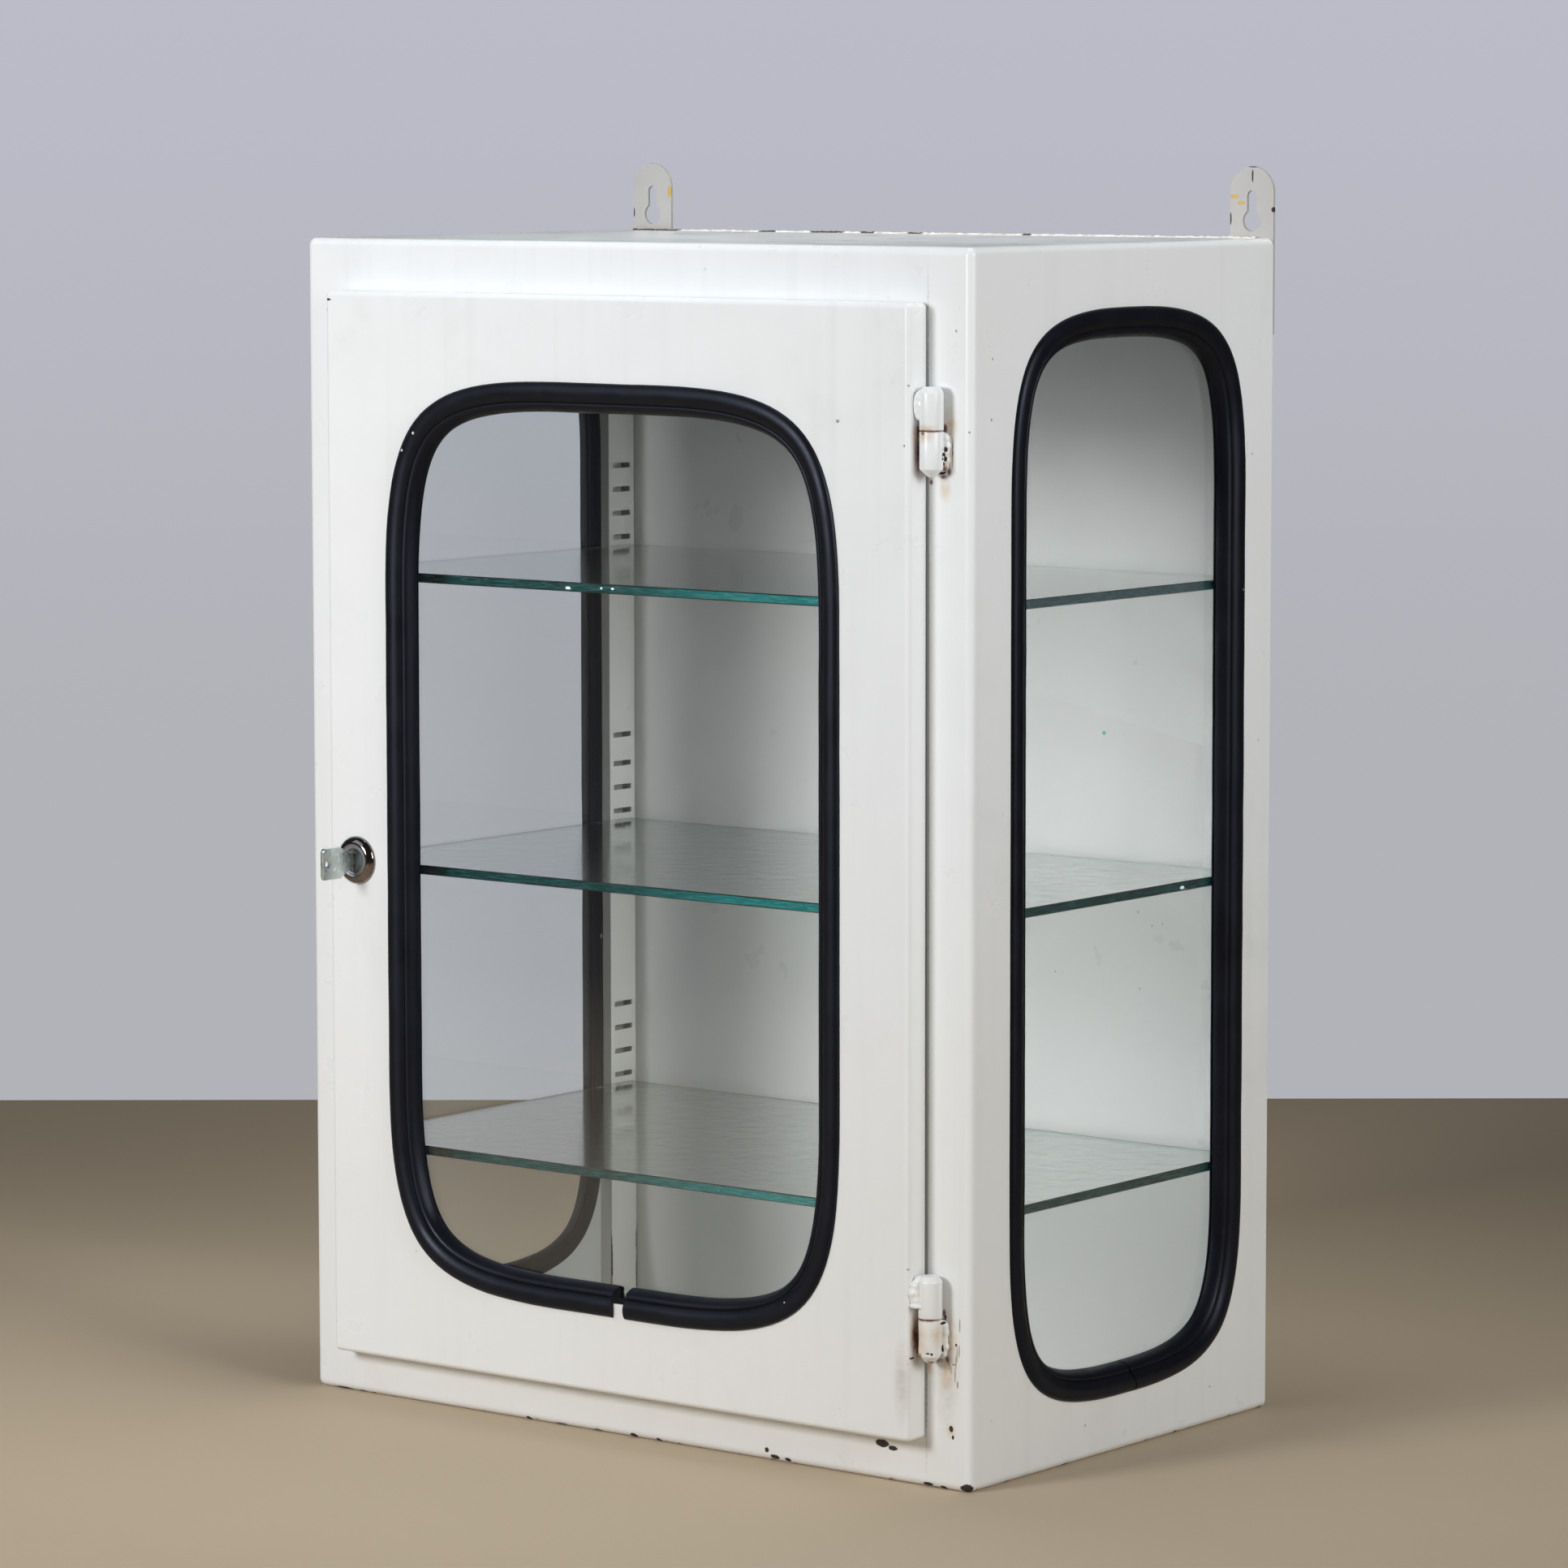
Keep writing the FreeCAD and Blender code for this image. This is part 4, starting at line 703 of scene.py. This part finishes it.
def start(kind, stretch=(1, 1, 1), **how):
    """A new primitive, with nothing else selected."""
    bpy.ops.object.select_all(action="DESELECT")
    getattr(bpy.ops.mesh, "primitive_" + kind + "_add")(**how)
    piece = bpy.context.object
    piece.scale = stretch
    bpy.ops.object.transform_apply(location=True, rotation=True, scale=True)
    return piece


def enter_edit(piece, wanted):
    """Goes into edit mode with only the wanted faces selected."""
    bpy.context.view_layer.objects.active = piece
    for part in (piece.data.vertices, piece.data.edges):
        for one in part:
            one.select = False
    for face in piece.data.polygons:
        face.select = wanted(face)
    bpy.ops.object.mode_set(mode="EDIT")
    bpy.ops.mesh.select_mode(type="FACE")


def leave_edit():
    bpy.ops.object.mode_set(mode="OBJECT")


def point_outwards(piece):
    """Merges doubled points and turns every face outwards."""
    enter_edit(piece, lambda face: True)
    bpy.ops.mesh.remove_doubles(threshold=DOUBLE_POINTS)
    bpy.ops.mesh.normals_make_consistent(inside=False)
    leave_edit()


def fuse(pieces):
    """Joins several forms into one object, each still closed by itself."""
    bpy.ops.object.select_all(action="DESELECT")
    for piece in pieces:
        piece.select_set(True)
    bpy.context.view_layer.objects.active = pieces[0]
    bpy.ops.object.join()
    return pieces[0]


def apply(piece, kind, **how):
    bpy.context.view_layer.objects.active = piece
    modifier = piece.modifiers.new(kind.lower(), kind)
    for key, value in how.items():
        setattr(modifier, key, value)
    bpy.ops.object.modifier_apply(modifier=modifier.name)


def lumps(piece, grain, height, direction="NORMAL"):
    """Makes a surface a little uneven."""
    pattern = bpy.data.textures.new("lumps", "CLOUDS")
    pattern.noise_scale = grain
    apply(
        piece, "DISPLACE", texture=pattern, strength=height, mid_level=0.5, direction=direction,
    )


def unite(piece, other):
    """Welds another closed form to the piece and takes the other away."""
    apply(piece, "BOOLEAN", operation="UNION", object=other, solver="EXACT")
    bpy.data.objects.remove(other)


def turned(outline, centre, steps=96):
    """Spins a closed outline, as (radius, stand-off) in millimetres, round an axis along Y."""
    x, y, z = centre
    count = len(outline)
    data = bpy.data.meshes.new("turning")
    data.from_pydata(
        [(x + radius * MM, y - out * MM, z) for radius, out in outline],
        [(number, (number + 1) % count) for number in range(count)], [],
    )
    piece = bpy.data.objects.new("turning", data)
    link(piece)
    bpy.ops.object.select_all(action="DESELECT")
    bpy.context.view_layer.objects.active = piece
    bpy.ops.object.mode_set(mode="EDIT")
    bpy.ops.mesh.select_all(action="SELECT")
    bpy.ops.mesh.spin(steps=steps, angle=math.tau, center=centre, axis=(0, 1, 0))
    leave_edit()
    point_outwards(piece)
    return piece


def place_on(piece, name, body, slot, material, *stands_for):
    """Names a finished piece, gives it its material and joins it to a body."""
    piece.name = name
    piece.data.name = name
    piece.data.materials.clear()
    piece.data.materials.append(material)
    pick(piece)
    bpy.ops.object.shade_smooth_by_angle(angle=SHADED_SMOOTH)
    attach(piece, body)
    if stands_for:
        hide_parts(*stands_for)


# ---------------------------------------------------------------- rubber seals

DOOR_SKIN = -0.1765
SIDE_SKIN = 0.264

# Left, right, bottom and top of each window, in millimetres.
DOOR_WINDOW = (-182.5, 178.7, 79, 659)
SIDE_WINDOW = (-119.8, 127.5, 35.5, 706.4)
# Each corner's reach in millimetres, and the pull of its handles, which makes it squarer
# than an arc.
DOOR_CORNER = (140, 0.83)
SIDE_CORNER = (117, 0.813)
# Where each seal is cut in its lower run and how far its ends are apart, in millimetres.
DOOR_CUT = (6.4, 10.3)
SIDE_CUT = (8.2, 1.0)
SIDE_CUT_LEAN = 6.5
LEAN_REACH = 22
SEAL_WIDTH = 19
SEAL_STEPS = 30
UNEVEN_GRAIN = 0.045
DOOR_UNEVEN = 0.0005
SIDE_UNEVEN = 0.0006

# Across the seal, in millimetres: in from its outer edge, and out from the skin's face.
SEAL_SECTION = [
    (0.0, 0.0), (0.1, 0.9), (0.6, 1.8), (1.6, 2.6), (3.0, 3.2), (4.8, 3.55), (6.5, 3.6),
    (8.3, 3.3), (10.0, 2.6), (11.4, 1.7), (12.4, 0.8), (12.75, 0.25), (13.1, 0.6), (13.8, 0.75),
    (14.7, 0.55), (15.6, 0.05), (16.4, -0.8), (17.2, -2.0), (18.0, -3.5), (18.6, -5.2),
    (19.0, -7.1), (18.9, -8.0), (10.9, -8.0), (10.9, -11.0), (18.1, -11.0), (17.7, -12.1),
    (16.4, -12.7), (15.2, -12.2), (14.5, -11.9), (13.4, -12.5), (11.4, -13.1), (9.0, -13.1),
    (6.4, -12.1), (4.0, -10.0), (2.2, -7.0), (1.2, -4.0), (0.9, -1.2), (8.7, -1.2), (8.7, 0.0),
]


def seal_section():
    line = bpy.data.curves.new("seal_section", "CURVE")
    spline = line.splines.new("POLY")
    spline.points.add(len(SEAL_SECTION) - 1)
    for point, (across, out) in zip(spline.points, SEAL_SECTION):
        point.co = (-across * MM, out * MM, 0, 1)
    spline.use_cyclic_u = True
    section = bpy.data.objects.new("seal_section", line)
    link(section)
    return section


def seal_route(window, corner, cut):
    """The line of a seal's outer edge, from one cut end round the window to the other."""
    x0, x1, z0, z1 = window
    reach, fullness = corner
    middle, gap = cut
    pull = reach * fullness
    turns = [
        ((x1 - reach, z0), (1, 0)), ((x1, z0 + reach), (0, 1)),
        ((x1, z1 - reach), (0, 1)), ((x1 - reach, z1), (-1, 0)),
        ((x0 + reach, z1), (-1, 0)), ((x0, z1 - reach), (0, -1)),
        ((x0, z0 + reach), (0, -1)), ((x0 + reach, z0), (1, 0)),
    ]
    ends = [((middle + gap / 2, z0), (1, 0)), *turns, ((middle - gap / 2, z0), (1, 0))]
    line = bpy.data.curves.new("seal_line", "CURVE")
    line.dimensions = "2D"
    line.fill_mode = "NONE"
    line.resolution_u = SEAL_STEPS
    spline = line.splines.new("BEZIER")
    spline.bezier_points.add(len(ends) - 1)
    for number, (point, ((u, v), (du, dv))) in enumerate(zip(spline.bezier_points, ends)):
        # A corner starts at every odd point; the runs between them are straight.
        turning = number % 2
        near = ends[max(number - 1, 0) if turning else min(number + 1, len(ends) - 1)][0]
        third = (abs(u - near[0]) + abs(v - near[1])) / 3
        after = pull if turning else third
        before = third if turning else pull
        point.co = (u * MM, v * MM, 0)
        point.handle_right = ((u + du * after) * MM, (v + dv * after) * MM, 0)
        point.handle_left = ((u - du * before) * MM, (v - dv * before) * MM, 0)
    return line


def seal_run(window, corner, cut):
    """A seal lying flat, swept round its window and open at its cut."""
    line = seal_route(window, corner, cut)
    section = seal_section()
    line.bevel_mode = "OBJECT"
    line.bevel_object = section
    line.use_fill_caps = True
    piece = bpy.data.objects.new("seal_run", line)
    link(piece)
    pick(piece)
    bpy.ops.object.convert(target="MESH")
    bpy.data.objects.remove(section)
    point_outwards(piece)
    return piece


def slant_ends(piece, middle, bottom, lean):
    """Leans the two ends of a seal so that they meet at a slant."""
    for point in piece.data.vertices:
        away = abs(point.co.x / MM - middle)
        rise = point.co.y / MM - bottom
        if away < LEAN_REACH and rise < LEAN_REACH:
            share = (0.5 - rise / SEAL_WIDTH) * lean * MM
            point.co.x += share * (1 - away / LEAN_REACH)


def stand(piece, rows):
    """Turns a flat piece into its place: rows give the cabinet's X, Y and Z from the piece's."""
    piece.matrix_world = Matrix((*rows, (0, 0, 0, 1)))
    pick(piece)
    bpy.ops.object.transform_apply(location=True, rotation=True, scale=True)


def make_seals():
    material = rubber()
    door = seal_run(DOOR_WINDOW, DOOR_CORNER, DOOR_CUT)
    stand(door, ((1, 0, 0, 0), (0, 0, -1, DOOR_SKIN), (0, 1, 0, 0)))
    lumps(door, UNEVEN_GRAIN, DOOR_UNEVEN)
    place_on(door, "door_window_seal", "door", "seal_rubber", material, "door_seal")
    right = seal_run(SIDE_WINDOW, SIDE_CORNER, SIDE_CUT)
    slant_ends(right, SIDE_CUT[0], SIDE_WINDOW[2], SIDE_CUT_LEAN)
    left = right.copy()
    left.data = right.data.copy()
    link(left)
    stand(right, ((0, 0, 1, SIDE_SKIN), (1, 0, 0, 0), (0, 1, 0, 0)))
    stand(left, ((0, 0, -1, -SIDE_SKIN), (1, 0, 0, 0), (0, 1, 0, 0)))
    # The left one is the right one's mirror image, so its faces are turned back outwards.
    point_outwards(left)
    for side, piece in (("right", right), ("left", left)):
        lumps(piece, UNEVEN_GRAIN, SIDE_UNEVEN)
        place_on(
            piece, side + "_window_seal", "carcass", "seal_rubber", material,
            "window_seal_" + side,
        )


# ---------------------------------------------------------------- hinges

HINGE_X = 0.240
HINGE_Y = -0.167
HINGE_RADIUS = 0.0072
SPLITS = {"upper": 0.637, "lower": 0.1055}
SPLIT_PLAY = 0.0002
BARREL_SIDES = 72
BARREL_ROUNDING = 0.0006
# Each half's length, and its coned tip's height and radius.
DOOR_HALF = (0.026, 0.0035, 0.0049)
FRAME_HALF = (0.0274, 0.0047, 0.0020)
TIP_INSET = 0.4
WELD_VOXEL = 0.0005
WELD_SMOOTHING = 18
WELD_GRAIN = 0.004
WELD_UNEVEN = 0.0004

# Drops of weld: place across and out, height from the split, then half sizes, in millimetres.
DOOR_WELDS = {
    "upper": [
        ((235.8, -169.0, 8.4), (6.0, 4.2, 3.2)), ((235.0, -168.8, 11.8), (7.2, 4.6, 5.0)),
        ((234.6, -168.7, 15.4), (7.6, 4.8, 6.0)), ((235.2, -168.7, 19.0), (7.0, 4.6, 4.6)),
        ((236.2, -168.8, 21.6), (5.6, 4.0, 3.2)),
    ],
    "lower": [
        ((234.4, -171.0, 7.6), (6.2, 5.4, 1.9)), ((233.4, -170.6, 11.2), (5.2, 4.8, 3.6)),
        ((232.0, -170.9, 15.4), (5.2, 5.3, 4.2)), ((232.8, -170.4, 19.6), (4.8, 4.6, 3.8)),
        ((234.4, -169.6, 23.2), (3.6, 3.6, 2.6)),
    ],
}
FRAME_WELDS = [
    ((244.6, -161.6, -4.6), (4.6, 3.4, 3.8)), ((245.0, -161.2, -8.8), (4.6, 3.2, 3.8)),
    ((244.4, -161.5, -13.0), (4.4, 3.4, 4.0)), ((244.9, -161.1, -17.4), (4.4, 3.1, 3.8)),
    ((244.0, -161.4, -21.4), (4.2, 3.0, 3.2)),
]


def barrel(bottom, top, tip_height, tip_radius, way):
    """One half of a hinge: a barrel with a coned end, above it or below it."""
    low, high = (bottom, top - tip_height) if way > 0 else (bottom + tip_height, top)
    piece = start(
        "cylinder", vertices=BARREL_SIDES, radius=HINGE_RADIUS, depth=high - low,
        location=(HINGE_X, HINGE_Y, (low + high) / 2),
    )
    enter_edit(piece, lambda face: face.normal.z * way > 0.9)
    bpy.ops.mesh.extrude_region_move(
        TRANSFORM_OT_translate={"value": (0, 0, way * tip_height)}
    )
    share = tip_radius / HINGE_RADIUS
    bpy.ops.transform.resize(value=(share, share, 1))
    bpy.ops.mesh.inset(thickness=tip_radius * TIP_INSET)
    leave_edit()
    apply(
        piece, "BEVEL", width=BARREL_ROUNDING, segments=3, limit_method="ANGLE",
        angle_limit=ROUNDED_FROM,
    )
    return piece


def weld(drops, split):
    """A run of weld: overlapping drops, melted into one and made uneven."""
    run = fuse([
        start(
            "uv_sphere", stretch=[v * MM for v in half], segments=24, ring_count=14, radius=1.0,
            location=(x * MM, y * MM, split + z * MM),
        )
        for (x, y, z), half in drops
    ])
    apply(run, "REMESH", mode="VOXEL", voxel_size=WELD_VOXEL)
    apply(run, "SMOOTH", factor=0.5, iterations=WELD_SMOOTHING)
    lumps(run, WELD_GRAIN, WELD_UNEVEN)
    return run


def make_hinges():
    material = paint("hinge_paint", chips=HINGE_CHIPS, rust_and_shade=HINGE_RUST, stains_and_shade=HINGE_STAINS)
    for where, split in SPLITS.items():
        length, *tip = DOOR_HALF
        door_half = barrel(split + SPLIT_PLAY, split + length, *tip, 1)
        unite(door_half, weld(DOOR_WELDS[where], split))
        place_on(
            door_half, "hinge_" + where + "_door_half", "door", "white_paint", material,
            "hinge_door_knuckle_" + where,
        )
        length, *tip = FRAME_HALF
        frame_half = barrel(split - length, split - SPLIT_PLAY, *tip, -1)
        unite(frame_half, weld(FRAME_WELDS, split))
        place_on(
            frame_half, "hinge_" + where + "_frame_half", "carcass", "white_paint", material,
            "hinge_frame_knuckle_" + where,
        )


# ---------------------------------------------------------------- lock

LOCK_CENTRE = (-0.209, DOOR_SKIN, 0.35015)

# In millimetres, like the outline below.
BORE_RADIUS = 7.65
BARREL_RADIUS = 9.5
THREAD_PITCH = 1.25
THREAD_DEPTH = 0.6
THREAD_STARTS = 1.0
THREAD_ENDS = -3.0

# The front of the rosette, as radius and stand-off from the door's face.
ROSETTE_FRONT = [
    (9.5, 0.0), (15.3, 0.0), (15.35, 0.8), (15.15, 1.5), (14.6, 2.35), (13.8, 3.2), (12.9, 3.9),
    (12.0, 4.35), (11.2, 4.6), (10.75, 4.55), (10.5, 4.25), (10.4, 3.8), (10.2, 3.68),
    (9.45, 3.66), (9.3, 3.5), (9.15, 3.5), (9.0, 3.66), (8.0, 3.68), (7.75, 3.6), (7.65, 3.3),
]


def make_lock():
    """The lock's rosette and its threaded barrel, turned in one."""
    rear = (DOOR_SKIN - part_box("lock_body")[1][1]) / MM
    outline = [
        *ROSETTE_FRONT, (BORE_RADIUS, rear + 0.4), (8.0, rear), (9.2, rear),
        (BARREL_RADIUS, rear + 0.3),
    ]
    out = rear + THREAD_STARTS
    while out < THREAD_ENDS:
        root = (BARREL_RADIUS - THREAD_DEPTH, out + THREAD_PITCH * 0.42)
        outline += [(BARREL_RADIUS, out), root]
        out += THREAD_PITCH
    piece = turned(outline, LOCK_CENTRE)
    place_on(piece, "lock_rosette", "door", "lock_chrome", lock_chrome(), "lock_body")


# ---------------------------------------------------------------- paint seam along the top

SEAM_LENGTH = 0.505
SEAM_WIDTH = 0.0050
SEAM_Y = 0.1570
SEAM_Z = 0.7459
SEAM_SINK = -0.0010
SEAM_THICKNESS = 0.0003


def make_seam():
    """The thick, flaking paint that bridges the joint between the top and the back."""
    piece = start(
        "grid", stretch=(SEAM_LENGTH, SEAM_WIDTH, 1), size=1, x_subdivisions=760,
        y_subdivisions=8, location=(0, SEAM_Y, SEAM_Z),
    )
    enter_edit(piece, lambda face: abs(face.center.y - SEAM_Y) > SEAM_WIDTH * 0.37)
    bpy.ops.transform.translate(value=(0, 0, SEAM_SINK))
    leave_edit()
    apply(piece, "SMOOTH", factor=0.5, iterations=2)
    lumps(piece, 0.0035, 0.0016, "Z")
    lumps(piece, 0.0080, 0.0030, "Y")
    apply(piece, "SOLIDIFY", thickness=SEAM_THICKNESS, offset=-1)
    place_on(piece, "top_seam", "carcass", "white_paint", seam_paint())


# ---------------------------------------------------------------- stage and light

FLOOR_SIZE = (16, 16)
WALL_SIZE = (16, 5)
WALL_MIDDLE = 2.5
WALL_BEHIND = 1.215
WALL_TOP = colour(187, 188, 200)
WALL_SHADED_LOW = colour(178, 179, 185)
# Heights on the wall, in shares of its own, between which the lower tone becomes the upper; the
# darker lower tone is painted shade.
WALL_FADE = (-0.45, -0.30)
# How brightly the wall lights the object; the camera sees it in full.
WALL_GLOW = 0.12
FLOOR_TONE = colour(195, 177, 150)
FLOOR_ROUGHNESS = 0.75
FILL_TONE = (0.90, 0.95, 1.0, 1.0)
FILL_STRENGTH = 0.14
GLOSSY_STRENGTH = 0.04

# Each lamp's name, place, target, size, power, colour and spread in degrees.
LAMPS = [
    ("key", (-0.46, -2.10, 1.00), (-0.38, -0.16, 0.50), 0.58, 16.2, (0.965, 0.975, 1.0), 132),
    ("side", (2.55, -0.45, 1.35), (0.26, 0.0, 0.86), 1.2, 11.6, (0.98, 0.99, 1.0), 92),
    ("overhead", (0.0, 0.05, 1.75), (0.0, 0.05, 0.745), 0.5, 1.1, (0.96, 0.98, 1.0), 60),
    ("above", (-1.15, -1.95, 1.85), (0.0, -0.1, 0.45), 1.6, 5.0, (0.80, 0.88, 1.0), 150),
]


def plain(name, size, place, turn, finish):
    """A flat rectangle of the stage."""
    bpy.ops.object.select_all(action="DESELECT")
    bpy.ops.mesh.primitive_plane_add(size=1.0)
    sheet = bpy.context.object
    sheet.name = name
    sheet.matrix_world = Matrix.Translation(place) @ turn @ Matrix.Diagonal((*size, 1, 1))
    sheet.data.materials.append(finish.material)


def looked_at(tree, *depths):
    """One for what the camera sees, itself or through glass, and nought for other light."""
    rays = tree.nodes.new("ShaderNodeLightPath").outputs
    through = rays["Is Transmission Ray"]
    for depth in depths:
        direct = compute(tree, "LESS_THAN", rays[depth], 0.5)
        through = compute(tree, "MULTIPLY", through, direct)
    return compute(tree, "MAXIMUM", rays["Is Camera Ray"], through)


def make_floor():
    f = Finish("floor")
    f.set(Base_Color=FLOOR_TONE, Roughness=FLOOR_ROUGHNESS)
    plain("floor", FLOOR_SIZE, Vector((0, 0, 0)), Matrix.Rotation(CAMERA_YAW, 4, "Z"), f)


def make_wall():
    """A glowing wall that shows the camera its lit look, darker low down as painted shade, and is
    clear from behind.
    """
    f = Finish("wall")
    glow = f.tree.nodes.new("ShaderNodeEmission")
    seen = looked_at(f.tree, "Diffuse Depth")
    f.join(f.blend(f.between(f.y, *WALL_FADE), WALL_SHADED_LOW, WALL_TOP), glow.inputs["Color"])
    f.join(f.between(seen, 0.0, 1.0, WALL_GLOW, 1.0), glow.inputs["Strength"])
    clear = f.tree.nodes.new("ShaderNodeBsdfTransparent")
    behind = f.tree.nodes.new("ShaderNodeNewGeometry").outputs["Backfacing"]
    f.show(mixed(f.tree, behind, glow.outputs[0], clear.outputs[0]))
    back = Vector((-math.sin(CAMERA_YAW), math.cos(CAMERA_YAW), 0))
    upright = Matrix.Rotation(CAMERA_YAW, 4, "Z") @ Matrix.Rotation(math.pi / 2, 4, "X")
    plain("wall", WALL_SIZE, back * WALL_BEHIND + Vector((0, 0, WALL_MIDDLE)), upright, f)


def shade(tree, tone, strength):
    node = tree.nodes.new("ShaderNodeBackground")
    node.inputs["Color"].default_value = tone
    node.inputs["Strength"].default_value = strength
    return node.outputs[0]


def make_world():
    """A dim even fill on the object, and the wall's tone wherever the camera looks past it."""
    world = bpy.data.worlds.new("room")
    bpy.context.scene.world = world
    world.use_nodes = True
    tree = world.node_tree
    tree.nodes.clear()
    glossy = tree.nodes.new("ShaderNodeLightPath").outputs["Is Glossy Ray"]
    fill = mixed(
        tree, glossy, shade(tree, FILL_TONE, FILL_STRENGTH),
        shade(tree, FILL_TONE, GLOSSY_STRENGTH),
    )
    seen = looked_at(tree, "Diffuse Depth", "Glossy Depth")
    output = tree.nodes.new("ShaderNodeOutputWorld")
    tree.links.new(
        mixed(tree, seen, fill, shade(tree, WALL_TOP, 1.0)), output.inputs["Surface"]
    )


def make_lamp(name, place, target, size, power, tone, spread):
    data = bpy.data.lights.new(name, "AREA")
    data.shape = "SQUARE"
    data.size = size
    data.energy = power
    data.color = tone
    data.spread = math.radians(spread)
    lamp = bpy.data.objects.new(name, data)
    aim = (Vector(target) - Vector(place)).to_track_quat("-Z", "Y")
    lamp.matrix_world = Matrix.Translation(place) @ aim.to_matrix().to_4x4()
    link(lamp)


bpy.context.scene.view_settings.view_transform = "Standard"
make_camera()
make_floor()
make_wall()
make_world()
for lamp in LAMPS:
    make_lamp(*lamp)
dress_paint()
dress_glass_and_metal()
make_seals()
make_hinges()
make_lock()
make_seam()
